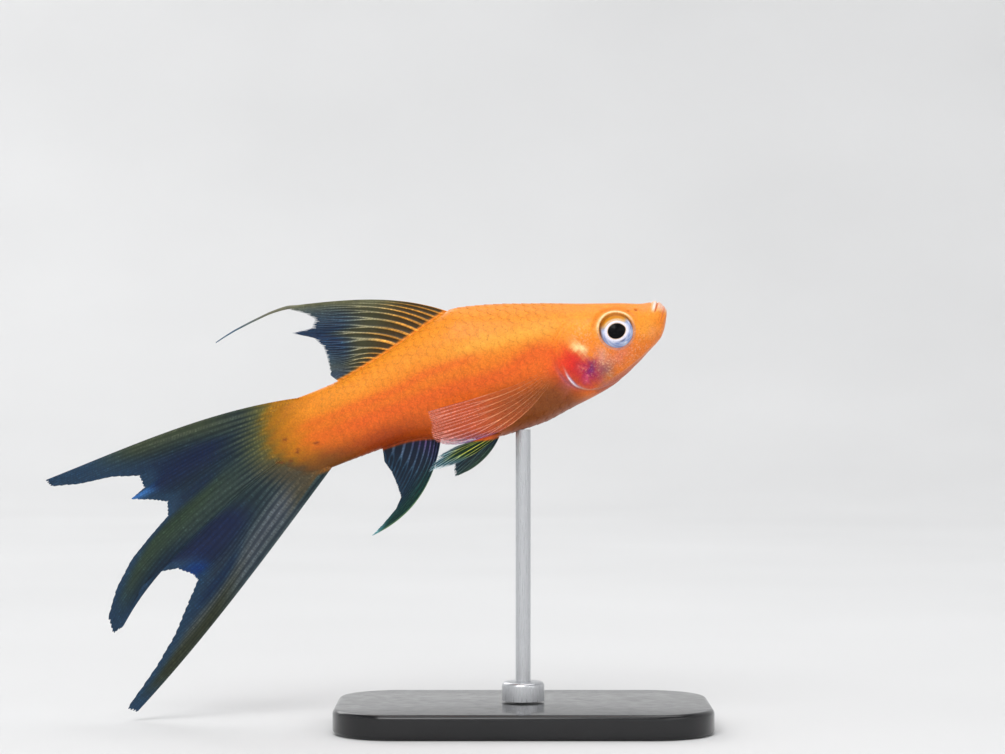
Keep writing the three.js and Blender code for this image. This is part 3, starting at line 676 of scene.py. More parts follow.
def body_normal(back, angle):
    step = 0.02
    along = body_point(back + step, angle) - body_point(np.maximum(back - step, 0), angle)
    around = body_point(back, angle + step) - body_point(back, angle - step)
    normal = np.cross(around, along)
    return normal / np.linalg.norm(normal, axis=-1, keepdims=True)


def eye_axes(side):
    """The eye's outward axis, and the two across it that point back and up."""
    cos_f, sin_f = math.cos(EYE_FORWARD), math.sin(EYE_FORWARD)
    cos_u, sin_u = math.cos(EYE_UPWARD), math.sin(EYE_UPWARD)
    outward = np.array([-cos_u * sin_f, side * cos_u * cos_f, sin_u])
    backward = np.array([cos_f, side * sin_f, 0])
    upward = np.array([sin_u * sin_f, -side * sin_u * cos_f, cos_u])
    return outward, backward, upward


def eye_polar(point):
    """Distance from the nearer eye's axis, and how far the point lies above it, from -1 to 1."""
    away = point * [1, 0, 1] + np.abs(point) * [0, 1, 0] - [EYE["back"], EYE["side"], EYE["up"]]
    outward, backward, upward = eye_axes(1)
    across_back, across_up = away @ backward, away @ upward
    radius = np.hypot(across_back, across_up)
    near = away @ outward > -2.5
    return np.where(near, radius, 99.0), across_up / np.maximum(radius, 0.01)


def mouth_axes(point):
    """How far a point lies above the plane of the mouth, and how far behind its front."""
    away_back = point[..., 0] - MOUTH["back"]
    away_up = point[..., 2] - MOUTH["up"]
    cos, sin = math.cos(MOUTH["slope"]), math.sin(MOUTH["slope"])
    return away_back * sin + away_up * cos, away_back * cos - away_up * sin


def gill_edge(point):
    """Distance outside the gill cover's round edge, the turn round it, and where that edge shows."""
    away_back = point[..., 0] - GILL["back"]
    away_up = point[..., 2] - GILL["up"]
    outside = np.hypot(away_back, away_up) - GILL["radius"]
    turn = np.arctan2(away_up, away_back)
    shows = smooth(turn, -2.0, -1.6) * fall(turn, 0.9, 1.5)
    return outside, turn, shows


def coat(back):
    """How far the skin lies under the solids' surface to leave room for the scales."""
    return COAT_DEPTH * smooth(back, 16, 22) * fall(back, STEM_END - 2, STEM_END + 2)


def relief(point):
    """Height of the skin's own forms over the plain body, in millimetres."""
    back, side, up = np.moveaxis(point, -1, 0)
    return eye_relief(point) + nose_relief(back, side, up) + mouth_relief(point) + gill_relief(point)


def eye_relief(point):
    """The socket, the rim round it, strongest above, and the fold over the rim."""
    radius, above = eye_polar(point)
    upper = smooth(above, -0.5, 0.7)
    socket = -1.7 * fall(radius, 2.4, lerp(2.68, 2.8, upper))
    rim = bump(radius, 2.98, 0.24) * lerp(0.0, 0.3, upper)
    groove = -0.1 * bump(radius, 3.6, 0.25) * upper
    brow = 0.12 * bump(radius, 4.3, 0.6) * smooth(above, 0.2, 0.9)
    return socket + rim + groove + brow


def nostril_away(back, side, up, centre):
    return np.sqrt((back - centre[0]) ** 2 + (up - centre[1]) ** 2 + (np.abs(side) - centre[2]) ** 2)


def nose_relief(back, side, up):
    height = 0
    for centre, radius in ((NOSTRIL, 0.36), (REAR_NOSTRIL, 0.24)):
        away = nostril_away(back, side, up, centre)
        height = height + 0.05 * bump(away, radius * 1.4, radius * 0.45)
        height = height - 0.25 * fall(away, radius * 0.3, radius)
    return height


def mouth_relief(point):
    """Lips on both sides of the cleft, and the folds of thin skin behind and below them."""
    over, behind = mouth_axes(point)
    line = fall(behind, MOUTH["reach"] - 0.3, MOUTH["reach"] + 0.3)
    lips = 0.18 * bump(over, 0.36, 0.26) + 0.13 * bump(over, -0.42, 0.3) - 0.26 * bump(over, 0, 0.08)
    folds = 0
    for fold in MOUTH_FOLDS:
        folds = folds - 0.08 * bump(over, fold, 0.13) * fall(behind, 1.6, 3.2)
    return line * lips + folds


def gill_relief(point):
    """The cover's round rear edge, the fore cover's edge on the cheek, and the throat's folds."""
    back, up = back_and_up(point)
    outside, _, shows = gill_edge(point)
    cheek = smooth(back, 9.5, 15) * fall(outside, -0.3, 0.1) * (outside < 3)
    height = shows * (0.2 * cheek + 0.07 * bump(outside, -0.35, 0.22) - 0.14 * bump(outside, 0.25, 0.2))
    fore = np.hypot(back - CHEEK_PLATE["back"], up - CHEEK_PLATE["up"]) - CHEEK_PLATE["radius"]
    fore_shows = bump(up, CHEEK_PLATE["up"], 2.2) * (back > 10)
    height += fore_shows * (0.08 * bump(fore, -0.3, 0.3) - 0.12 * bump(fore, 0.1, 0.16))
    throat = throat_level(back, up)
    along = smooth(back, 3, 5) * fall(back, 15.5, 17)
    height += along * (0.06 * bump(throat, 0.35, 0.3) - 0.1 * bump(throat, 0, 0.17))
    for line in THROAT_LINES:
        height -= 0.05 * bump(throat, line, 0.09) * along
    return height


def throat_level(back, up):
    """How far a point lies above the fold between jaw and throat."""
    return up - (belly_line(back) + lerp(0.14, 1.25, smooth(back, 4, 15)))


def skin_point(back, angle, lift=0):
    base = body_point(back, angle)
    height = relief(base) - coat(base[..., 0]) + lift
    return base + body_normal(back, angle) * height[..., None], base


def add_paint(paint, colour, share):
    return lerp(paint, np.array(colour, float), np.clip(share, 0, 1)[..., None])


def layers(paint, *coats):
    """Lays colours over one another, each as (colour, how much it hides)."""
    for colour, share in coats:
        paint = add_paint(paint, colour, share)
    return paint


def back_and_up(point):
    return point[..., 0], point[..., 2]


def markings(point):
    """The fish's colours, the darker lower flank and belly partly painted shade, and as a fourth value how
    speckled it is: the same for skin and scales.
    """
    back, up = back_and_up(point)
    low, high = belly_line(back), back_line(back)
    height = np.clip((up - low) / (high - low), 0, 1)
    gold = bump(up, gold_band(back), 1.5) * smooth(back, 8, 18) * fall(back, 30, 40)
    under = smooth(-(up - red_band(back)), -1.2, 1.2) * smooth(back, 17, 21)
    belly = fall(height, 0.2, 0.42) * smooth(back, 16, 20) * fall(back, 28, 35)
    rim = fall(height, 0.0, 0.08) * smooth(back, 14, 18) * fall(back, 31, 36)
    behind = back - STEM_END - stem_end(up)
    behind = behind + 0.35 * np.sin(3.1 * up + 1.2 * back) + 0.2 * np.sin(7.7 * up - 2 * back)
    early = 1.8 * fall(height, 0.1, 0.45) - smooth(height, 0.65, 0.95)
    paint = layers(
        np.ones(point.shape) * ORANGE,
        (AMBER, smooth(height, 0.5, 0.8)),
        (GOLD, 0.95 * gold),
        (DEEP, 0.5 * bump(up, upper_red_band(back), 0.9) * smooth(back, 28, 34)),
        (DEEP, 0.5 * under),
        (DEEP, 0.55 * bump(up, red_band(back), 1.3) * smooth(back, 18, 22)),
        # Darker lower flank and belly: partly the fish's own colour, partly painted shade of the underside,
        # which light from above leaves darker.
        (BURNT_AND_SHADE, 0.95 * fall(height, 0.04, 0.38) * smooth(back, 34, 52)),
        (BROWN_AND_SHADE, 0.9 * belly),
        (ROSY, 0.6 * rim),
        (OCHRE, 0.25 * smooth(behind, -13, -6)),
        (OCHRE, 0.85 * smooth(behind, -5.5, -0.5)),
        (UMBER, 0.9 * smooth(behind, -10, -2) * fall(height, 0.06, 0.4)),
        (OLIVE, 0.85 * smooth(behind, -2, 2) * smooth(height, 0.1, 0.3)),
        (lerp_colours(STEM_FOOT, smooth(height, 0.1, 0.6)), smooth(behind + early, 0.6, WEDGE + 1.6)),
    )
    paint, pale = head_markings(point, paint)
    for at in TAIL_SPOTS:
        paint = add_paint(paint, BRONZE, 0.8 * spot(point, at, (0.36, 0.24)))
    speckled = 0.12 + 0.1 * smooth(height, 0.7, 0.95) + 0.4 * belly * (back > 12)
    speckled = speckled + 0.25 * smooth(behind, -4, 0)
    return np.concatenate([paint, (speckled - pale)[..., None]], -1)


def lerp_colours(pair, share):
    """A colour at each point, between two."""
    return lerp(np.array(pair[0], float), np.array(pair[1], float), share[..., None])


def head_markings(point, paint):
    """The head's colours, with painted highlights on the gill cover and upper lip and painted shade round the
    eye, nostrils and mouth cleft, and how pale-speckled it is.
    """
    back, up = back_and_up(point)
    head = fall(back, 16, 20)
    paint = add_paint(paint, AMBER, 0.75 * head * smooth(up, -4, 1))
    paint = add_paint(paint, PEACH, 0.7 * fall(back, 1.5, 6) * smooth(up, -0.5, 1.5))
    for colour, strength, at, size, turn, power in HEAD_SPOTS:
        paint = add_paint(paint, colour, strength * spot(point, at, size, turn) ** power)
    paint = gill_markings(point, paint)
    paint = mouth_markings(point, paint)
    pale = 0
    for strength, at, size, turn in PALE_SPOTS:
        pale = pale + strength * spot(point, at, size, turn)
    return eye_markings(point, paint), np.clip(pale, 0, 1)


def gill_markings(point, paint):
    """The pearly edge of the gill cover, and the rosy edge of jaw and throat."""
    back, up = back_and_up(point)
    outside, turn, _ = gill_edge(point)
    inner = np.clip(-0.9 - 1.26 * (turn + 0.25), -0.95, -0.16)
    throat = throat_level(back, up)
    along = smooth(back, 3, 6) * fall(back, 14, 16)
    return layers(
        paint,
        ((206, 112, 132), 0.75 * bump(outside, 0.05, 0.4) * bump(turn, -0.55, 0.5)),
        ((188, 104, 112), 0.5 * spot(point, (19.3, -6.0), (0.9, 1.5), 20)),
        (STEEL_BLUE, 0.8 * bump(outside, inner - 0.08, 0.24) * bump(turn, -0.66, 0.3)),
        (PEARL, bump(outside, inner, 0.15) * bump(turn, -0.66, 0.27) ** 0.5),
        (PALE_ROSE, 0.8 * bump(outside, -0.12, 0.14) * bump(turn, -1.3, 0.5)),
        ((172, 84, 74), 0.75 * fall(throat, -0.5, 0.2) * along),
        ((196, 126, 134), 0.45 * bump(throat, -0.1, 0.16) * along),
    )


def mouth_markings(point, paint):
    over, behind = mouth_axes(point)
    line = fall(behind, MOUTH["reach"] - 0.4, MOUTH["reach"] + 0.5)
    front = fall(behind, 0.2, 1.5)
    return layers(
        paint,
        # Painted highlight: a white band along the upper lip.
        (PEARL, 0.85 * bump(over, 0.36, 0.3) * line),
        (LIP_PINK, 0.85 * smooth(-over, 0, 0.3) * front * (point[..., 0] < 3)),
        ((226, 112, 70), 0.5 * bump(over, -1.3, 0.2) * fall(behind, 1, 3)),
        # Painted shade: a darker line in the crease of the mouth's cleft.
        ((206, 116, 92), 0.7 * bump(over, 0, 0.09) * line),
    )


def eye_markings(point, paint):
    """The cream rim over the eye with painted shade (brown) in the gap under it, and painted shade in the
    nostrils' pits.
    """
    back, side, up = np.moveaxis(point, -1, 0)
    radius, above = eye_polar(point)
    upper = smooth(above, -0.1, 0.6)
    inner = fall(radius, 2.62, 2.85)
    paint = layers(
        paint,
        ((232, 130, 40), 0.6 * bump(radius, 3.7, 0.3) * upper),
        (RIM_CREAM, 0.98 * bump(radius, 3.05, 0.26) * upper),
        (MAUVE, 0.6 * bump(radius, 2.95, 0.16) * (1 - upper)),
        # Painted shade: brown in the gap between the rim and the eye above; paler below.
        ((172, 92, 30), inner * upper),
        ((196, 150, 150), inner * (1 - upper)),
    )
    for centre, size in ((NOSTRIL, 0.36), (REAR_NOSTRIL, 0.24)):
        away = nostril_away(back, side, up, centre)
        # Painted shade: darker colour inside the nostrils' pits.
        paint = add_paint(paint, (176, 84, 36), 0.7 * fall(away, size * 0.4, size))
    return paint


def opaque(paint):
    flat = paint.reshape(-1, 3)
    return np.concatenate([flat, np.ones((len(flat), 1))], 1)


def build_skin(material):
    """One skin over head, trunk and tail stem."""
    spans = [np.linspace(low, high, rings, endpoint=False) for low, high, rings in SKIN_SPANS]
    rings = np.concatenate(spans + [[STEM_END + WEDGE]])
    angles = np.arange(SKIN_SIDES) / SKIN_SIDES * 2 * math.pi
    back, angle = np.meshgrid(rings, angles, indexing="ij")
    point, base = skin_point(back, angle)
    points = with_ends(place(point))
    paint = with_ends(markings(base))
    spots = np.stack([angle / (2 * math.pi), back / (STEM_END + WEDGE)], -1)
    spots = np.concatenate([spots.reshape(-1, 2), [[0.5, 0], [0.5, 1]]])
    faces = tube_faces(len(rings), SKIN_SIDES)
    skin = add_piece("skin", points, faces, material, paint, {"OFBake": spots})
    own(skin, "skin", "head", "trunk", "tail_stem")


def row_angle(share):
    """Angle round the body, so that equal shares are about equally wide on its skin."""
    turn = share * 2 * math.pi
    return turn - ROW_WARP * np.sin(2 * turn)


def scale_places():
    """Where each scale's middle lies: [back, share of the way round]."""
    spots = []
    back = 13.0
    column = 0
    while back < SCALES_END:
        shares = (np.arange(SCALE_ROWS) + 0.5 * (column % 2)) / SCALE_ROWS
        middle = body_point(np.full(SCALE_ROWS, back), row_angle(shares))
        outside = gill_edge(middle)[0]
        clear = (outside > 0.95) & ((middle[:, 2] > 1.5) | (back > 17.5)) & (middle[:, 0] > 14)
        spots += [[back, share] for share in shares[clear]]
        back += SCALE_PITCH * lerp(1.0, 0.72, float(smooth(back, 38, 60)))
        column += 1
    return np.array(spots)


def build_scales(material):
    """Thin overlapping plates, each sunk at the front and a little proud at its round rear edge."""
    spots = scale_places()
    rows, columns = SCALE_GRID
    across = np.linspace(-1, 1, columns)
    share = np.linspace(0, 1, rows)[:, None]
    rear = -0.1 + 1.1 * np.sqrt(1 - (0.96 * across) ** 2)
    along = -1 + (rear + 1) * share
    across = np.broadcast_to(across, along.shape)
    back = spots[:, 0, None, None]
    pitch = SCALE_PITCH * lerp(1.0, 0.72, smooth(back, 38, 60))
    place_back = np.minimum(back + along * SCALE_LONG * pitch / 2, STEM_END + WEDGE)
    turn = spots[:, 1, None, None] + across * SCALE_WIDE / SCALE_ROWS / 2
    rise = (along + 1) / 2
    ends = fall(back, 14, 19) * 0.03 + smooth(back, 53, SCALES_END - 1) * 0.1
    top = lerp(SCALE_EDGE["front"], SCALE_EDGE["rear"], rise) - ends
    top = top + SCALE_EDGE["dome"] * (1 - across ** 2) * rise
    edge = bump(along, rear, 0.18)[None]
    points, paints, maps = [], [], []
    for lift in (top, top - SCALE_EDGE["thick"]):
        point, base = skin_point(place_back, row_angle(turn), lift)
        points.append(place(point).reshape(len(spots), -1, 3))
        paint = markings(base)
        paint[..., :3] *= 1 - 0.06 * edge[..., None]
        paint[..., 3] += 0.34 * edge * smooth(base[..., 2] - gold_band(base[..., 0]), 0, 2.5)
        paints.append(paint.reshape(len(spots), -1, 4))
        on_map = [spots[:, 1, None, None] + PATCH * across, back / (STEM_END + WEDGE) * 0.99 + PATCH * along]
        maps.append(np.stack(np.broadcast_arrays(*on_map), -1).reshape(len(spots), -1, 2))
    one = sheet_faces(rows, columns)
    count = 2 * rows * columns
    faces = (one[None] + np.arange(len(spots))[:, None, None] * count).reshape(-1, 4)
    points = np.concatenate(points, 1).reshape(-1, 3)
    paint = np.concatenate(paints, 1).reshape(-1, 4)
    spots_on_map = np.concatenate(maps, 1).reshape(-1, 2)
    scales = add_piece("scales", points, faces, material, paint, {"OFBake": spots_on_map})
    scales.data.set_sharp_from_angle(angle=math.radians(35))
    own(scales, "skin")


def build_eye(side, name, node, material):
    """An eyeball with a domed pupil, a white ring round it and an iris silver below with a painted glint,
    brown above: partly orange colour, partly painted shade under the rim.
    """
    outward, backward, upward = eye_axes(side)
    centre = np.array([EYE["back"], side * EYE["side"], EYE["up"]])
    polar = np.concatenate([np.linspace(0.004, 0.5, 90), np.linspace(0.52, 0.996, 14)]) * math.pi
    around = np.arange(160) / 160 * 2 * math.pi
    polar, around = np.meshgrid(polar, around, indexing="ij")
    radius = EYE["radius"] * np.sin(polar)
    a, b = radius * np.cos(around), radius * np.sin(around)
    pupil = np.hypot((a - PUPIL["back"]) / PUPIL["long"], (b - PUPIL["up"]) / PUPIL["tall"])
    pupil = pupil * (1 - 0.07 * np.maximum(np.cos(around - PUPIL["point"]), 0) ** 12)
    front = np.cos(polar) > 0
    dome = 0.1 * fall(pupil, 0, 1.02) - 0.07 * bump(pupil, 1.05, 0.07)
    depth = EYE["depth"] * np.cos(polar) + np.where(front, dome, 0)
    point = centre + a[..., None] * backward + b[..., None] * upward + depth[..., None] * outward
    paint = iris_paint(a, b, radius, around, pupil)
    ball = add_piece(name, with_ends(place(point)), tube_faces(*radius.shape), material,
                     opaque(with_ends(paint)))
    own(ball, "eye", node)


def iris_paint(a, b, radius, around, pupil):
    flakes = 0.5 + 0.5 * np.sin(around * 9 + 3 * np.sin(radius * 5)) * np.sin(radius * 9 + around * 2)
    above = smooth(b / np.maximum(radius, 0.01), 0.25, 0.75)
    white = fall(pupil, lerp(1.26, 1.3, above), lerp(1.6, 1.5, above))
    return layers(
        np.ones(a.shape + (3,)) * (200, 210, 232),
        ((120, 138, 196), flakes * 0.75),
        # Painted highlight: a white glint low on the silver iris.
        ((232, 238, 250), bump(around, 4.45, 0.12) * bump(radius, 2.4, 0.16)),
        ((36, 44, 84), 0.9 * bump(around, 4.62, 0.3) * bump(radius, 1.85, 0.16)),
        # Brown above: partly the iris's orange colour, partly painted shade under the rim, darkest near the
        # iris's edge.
        ((216, 136, 26), above),
        ((150, 84, 24), 0.7 * above * bump(radius, 2.5, 0.2)),
        ((232, 196, 158), above * bump(pupil, 1.55, 0.16)),
        # Painted shade: a dark brown line at the iris's edge where it meets the socket, strongest at the
        # sides.
        ((110, 56, 30), 0.8 * bump(radius, 2.62, 0.16) * bump(b, 0.5, 0.9)),
        ((244, 240, 252), white),
        ((232, 190, 150), 0.8 * bump(pupil, 1.05, 0.06)),
        ((4, 4, 7), fall(pupil, 1.0, 1.05)),
    )


# Fins

def fan(rays, root, u, v):
    """Point [back, up] of a fin: u counts its rays, v goes from root to margin."""
    table = np.array(rays, float)
    index = np.clip(u.astype(int), 0, len(rays) - 2)
    part = (u - index)[..., None]
    tip_back, tip_up, bow_root, bow_tip = np.moveaxis(lerp(table[index], table[index + 1], part), -1, 0)
    root_back, root_up = root(u / (len(rays) - 1))
    along_back, along_up = tip_back - root_back, tip_up - root_up
    bow = 3 * v * (1 - v) * ((1 - v) * bow_root + v * bow_tip)
    return np.stack([root_back + along_back * v - along_up * bow,
                     root_up + along_up * v + along_back * bow], -1)


def ray_ridges(rank, v, form):
    """Height of the rays, 0 to 1: each ray forks in two, and its branches again nearer the margin."""
    width = lerp(form["broad"], form["fine"], smooth(v, 0, form["fork"] + 0.5))
    branches = [0]
    for step in range(form["forks"]):
        start = form["fork"] + form["apart"] * step
        spread = 0.25 / 2 ** step * smooth(v, start, start + 0.28)
        branches = [branch + turn * spread for branch in branches for turn in (-1, 1)]
    height = np.zeros(np.broadcast(rank, v).shape)
    for branch in branches:
        away = np.abs((rank - branch + 0.5) % 1 - 0.5)
        height = np.maximum(height, np.exp(-((away / width) ** 2)))
    return height


def build_fin(name, rays, root, side_of, colours, material, nodes, meets=True, rank_at=None, **changes):
    """A closed fin: thin membrane, rays as ridges on both faces, and a frayed margin."""
    form = dict(FIN_FORM, **changes)
    last = len(rays) - 1
    u = np.linspace(0, last, last * form["columns"] + 1)[None, :]
    v = np.linspace(0, 1, form["rows"])[:, None] ** 0.9
    u, v = np.broadcast_arrays(u, v)
    rank = rank_at(u / last) if rank_at else u * form["density"]
    ridge = ray_ridges(rank, v, form)
    fray = form["ragged"] * (1 - ray_ridges(rank, np.ones_like(v), form)) * (0.5 + 0.5 * np.sin(u * 5.3) ** 2)
    reach = v * (1 - fray * smooth(v, 0.8, 1))
    flat = fan(rays, root, u, reach)
    web = lerp(form["web"], form["margin"], smooth(v, 0.75, 1))
    half = web / 2 + ridge * form["ray"] / 2 * lerp(1, form["ray_tip"], smooth(v, 0, 0.95))
    half = half + (form["foot"] - form["web"]) / 2 * np.exp(-v * form["taper"])
    half = half * (1 - 0.55 * smooth(v, 0.96, 1))
    middle = side_of(flat[..., 0], flat[..., 1], v, u)
    faces = [np.stack([flat[..., 0], middle + turn * half, flat[..., 1]], -1) for turn in (-1, 1)]
    points = np.concatenate([place(face).reshape(-1, 3) for face in faces])
    step = np.linalg.norm(np.diff(flat, axis=0), axis=-1)
    run = np.concatenate([np.zeros((1, flat.shape[1])), np.cumsum(step, 0)]) / 10
    spots = np.stack([ridge, run], -1).reshape(-1, 2)
    paint = fin_paint(u, v, ridge, colours)
    if meets:
        paint = meet_body(paint, flat, ridge)
    paint = paint.reshape(-1, 4)
    fin = add_piece(name, points, sheet_faces(*u.shape), material, np.concatenate([paint, paint]))
    lay_rays(fin.data, np.concatenate([spots, spots]))
    own(fin, "fin", *nodes)


def lay_rays(mesh, spots):
    """The map that the fin's material reads: how much a point lies on a ray, and how far out."""
    mesh.uv_layers.new(name="Rays").data.foreach_set("uv", spots[corner_points(mesh)].ravel())


def fin_paint(u, v, ridge, colours):
    """Web and ray colours in their zones, mixed by ridge height, with how much each hides."""
    web = np.ones(u.shape + (3,)) * colours["web"]
    ray = np.ones(u.shape + (3,)) * colours["ray"]
    for web_colour, ray_colour, (middle, width), (low, high) in colours["zones"]:
        share = bump(u, middle, width) * smooth(v, low, high)
        web = add_paint(web, web_colour, share)
        ray = add_paint(ray, ray_colour, share)
    share = smooth(ridge, 0.15, 0.8)
    uneven = 0.8 + 0.2 * np.sin(2.7 * u + 4 * v) * np.sin(1.1 * u - 7 * v)
    out = smooth(v, 0.05, 0.6)
    hide = lerp(lerp(*colours["hide"][0], out), lerp(*colours["hide"][1], out), share)
    return np.concatenate([lerp(web, ray, (share * uneven)[..., None]), hide[..., None]], -1)


def meet_body(paint, flat, ridge):
    """Where a fin grows out of the body it has the body's colours, and its rays keep them longer."""
    back, up = flat[..., 0], flat[..., 1]
    outside = np.maximum(up - back_line(back), belly_line(back) - up)
    outside = outside - MEET_FADE["widening"] * np.maximum(back - STEM_END - 0.6, 0)
    behind = back - STEM_END - stem_end(up) - lerp(MEET_FADE["web"], MEET_FADE["ray"], ridge)
    share = fall(outside, 0.0, MEET_FADE["edge"]) * fall(behind, 0, MEET_FADE["length"])
    body = markings(np.stack([back, np.zeros(back.shape), up], -1))
    body[..., 3] = 1
    return lerp(paint, body, share[..., None])


def dorsal_root(share):
    back = dorsal_foot(share)
    return back, back_line(back) - FIN_SINK


def build_filament(material):
    """The long first ray of the back fin, drawn out past its margin into a fine thread."""
    start = fan(DORSAL_RAYS, dorsal_root, np.array(0.5), np.array(FILAMENT_START))
    table = np.array([[*start, FILAMENT[0][2]]] + FILAMENT)
    at = np.linspace(0, 1, 120)
    knots = np.linspace(0, 1, len(table))
    back, up, radius = (curve(np.stack([knots, column], 1))(at) for column in table.T)
    angle = np.arange(16) / 16 * 2 * math.pi
    away_up = radius[:, None] * np.sin(angle)
    side = DORSAL_LEAN * np.maximum(up - back_line(back), 0)
    side = side[:, None] + 0.55 * radius[:, None] * np.cos(angle)
    ring_back = np.broadcast_to(back[:, None], side.shape)
    points = with_ends(place(np.stack([ring_back, side, up[:, None] + away_up], -1)))
    u, v = np.zeros(side.shape), np.broadcast_to(at[:, None], side.shape)
    paint = with_ends(fin_paint(u, v, np.full(side.shape, 0.3), FILAMENT_COLOURS))
    spots = np.stack([np.full(side.shape, 0.3), (ring_back - back[0]) / 10], -1)
    thread = add_piece("fin_dorsal_filament", points, tube_faces(*side.shape), material, paint)
    lay_rays(thread.data, with_ends(spots))
    own(thread, "fin", "dorsal_filament")


def ripple(u, v):
    """The gentle waves of a middle fin, from side to side."""
    return FIN_RIPPLE * v * np.sin(u * 2.3 + 3 * v)


def build_fins(material):
    def caudal_root(share):
        up = lerp(CAUDAL_ROOT["top"], CAUDAL_ROOT["bottom"], share)
        return STEM_END + stem_end(up) - FIN_SINK, up

    def caudal_side(back, up, v, u):
        wave = CAUDAL_WAVE["side"] * np.sin(up * CAUDAL_WAVE["turn"] + CAUDAL_WAVE["shift"])
        return wave * v * v + 0.16 * v * np.sin(u * 2.1 + 4 * v)

    build_fin("fin_caudal", CAUDAL_RAYS, caudal_root, caudal_side, CAUDAL_COLOURS, material,
              ["caudal_upper", "caudal_middle", "caudal_lower"], rows=140, broad=0.4, fine=0.09, ray=0.16,
              ray_tip=0.25)

    def dorsal_side(back, up, v, u):
        return DORSAL_LEAN * np.maximum(up - back_line(back), 0) + ripple(u, v)

    def dorsal_rank(share):
        return (dorsal_foot(share) - DORSAL_RAY_FIRST) / DORSAL_RAY_PITCH

    build_fin("fin_dorsal", DORSAL_RAYS, dorsal_root, dorsal_side, DORSAL_COLOURS, material,
              ["dorsal_fin"], rank_at=dorsal_rank, foot=0.9, ragged=0.07, fork=0.42, forks=3, apart=0.18,
              broad=0.2, fine=0.05, columns=40)
    build_filament(material)

    def anal_root(share):
        back = anal_foot(share)
        return back, belly_line(back) + FIN_SINK

    def anal_side(back, up, v, u):
        return ripple(u, v)

    build_fin("fin_anal", ANAL_RAYS, anal_root, anal_side, ANAL_COLOURS, material, ["anal_fin"],
              foot=0.9, ragged=0.03, density=1.5, fork=0.45, broad=0.2, fine=0.08, columns=40)

    def add_pair(name, node, rays, shape, sign, colours, **changes):
        def root(share):
            return (lerp(shape["from"][0], shape["to"][0], share),
                    lerp(shape["from"][1], shape["to"][1], share))

        def side_of(back, up, v, u):
            run = np.hypot(back - shape["from"][0], up - shape["from"][1])
            flare = shape["flare"] * (1 - np.exp(-run / shape["turn"]))
            return sign * (shape["side"] + flare + shape["spread"] * run + 0.08 * v * np.sin(u * 2 + 3 * v))

        build_fin(name, rays, root, side_of, colours, material, [node], foot=0.4, ray=0.24, **changes)

    for side, sign in (("right", -1), ("left", 1)):
        add_pair("fin_pectoral_" + side, "pectoral_" + side, PECTORAL_RAYS, PECTORAL_ROOT, sign,
                 PECTORAL_COLOURS, meets=False, ragged=0.03, density=0.8, broad=0.08, fine=0.07, fork=0.45,
                 web=0.16, columns=30)
    add_pair("fin_pelvic_right", "pelvic_right", PELVIC_RAYS, PELVIC_ROOT, -1, PELVIC_COLOURS,
             density=1.5, ragged=0.16, fork=0.5, fine=0.06, columns=50)
    add_pair("fin_pelvic_left", "pelvic_left", FAR_PELVIC_RAYS, PELVIC_ROOT, 1, FAR_PELVIC_COLOURS,
             density=1.5, ragged=0.08, fork=0.5, fine=0.08, columns=40)


# Stand

def turned(profile, sides=96):
    """Rings of a turned shape from [radius, height] points."""
    angle = np.arange(sides) / sides * 2 * math.pi
    rings = [np.stack([radius * np.cos(angle), radius * np.sin(angle), np.full(sides, height)], -1)
             for radius, height in profile]
    return np.array(rings) * MM


def rounded_plate():
    """Rings of the base: a rounded outline, drawn in along both edges by a quarter round."""
    corner_steps = np.linspace(0, math.pi / 2, 16)
    bevel_steps = np.linspace(0, math.pi / 2, 7)
    bevel = BASE["bevel"]
    levels = [(bevel * (1 - math.sin(t)), bevel * (1 - math.cos(t))) for t in bevel_steps]
    levels += [(inset, BASE["height"] - height) for inset, height in reversed(levels)]
    rings = []
    for inset, height in levels:
        radius = BASE["corner"] - inset
        ring = []
        for turn in range(4):
            angle = corner_steps + turn * math.pi / 2
            x = math.copysign(BASE["length"] / 2 - BASE["corner"], 1 if turn in (0, 3) else -1)
            y = math.copysign(BASE["width"] / 2 - BASE["corner"], 1 if turn in (0, 1) else -1)
            ring += list(zip(x + radius * np.cos(angle), y + radius * np.sin(angle), [height] * len(angle)))
        rings.append(ring)
    return np.array(rings) * MM


def build_stand():
    steel = steel_look()
    plate = rounded_plate()
    rod = [(ROD["radius"], ROD["foot"]), (ROD["radius"], ROD["top"])]
    collar_low, collar_high, lip = COLLAR["low"], COLLAR["high"], COLLAR["lip"]
    arc = np.linspace(0, math.pi / 2, 9)
    rounded = [(COLLAR["radius"] - lip * (1 - math.cos(t)), collar_high - lip * (1 - math.sin(t)))
               for t in arc]
    collar = [(COLLAR["inner"], collar_low), (COLLAR["radius"], collar_low)] + rounded
    collar += [(COLLAR["inner"], collar_high)]
    pieces = [
        ("stand_plate", "stand_base", plate, base_look(), "base"),
        ("stand_post", "stand_rod", turned(rod), steel, "rod"),
        ("stand_ring", "stand_collar", turned(collar), steel, "rod"),
    ]
    for name, node, rings, material, slot in pieces:
        piece = add_piece(name, with_ends(rings), tube_faces(*rings.shape[:2]), material)
        piece.data.set_sharp_from_angle(angle=math.radians(35))
        own(piece, slot, node)


# Studio

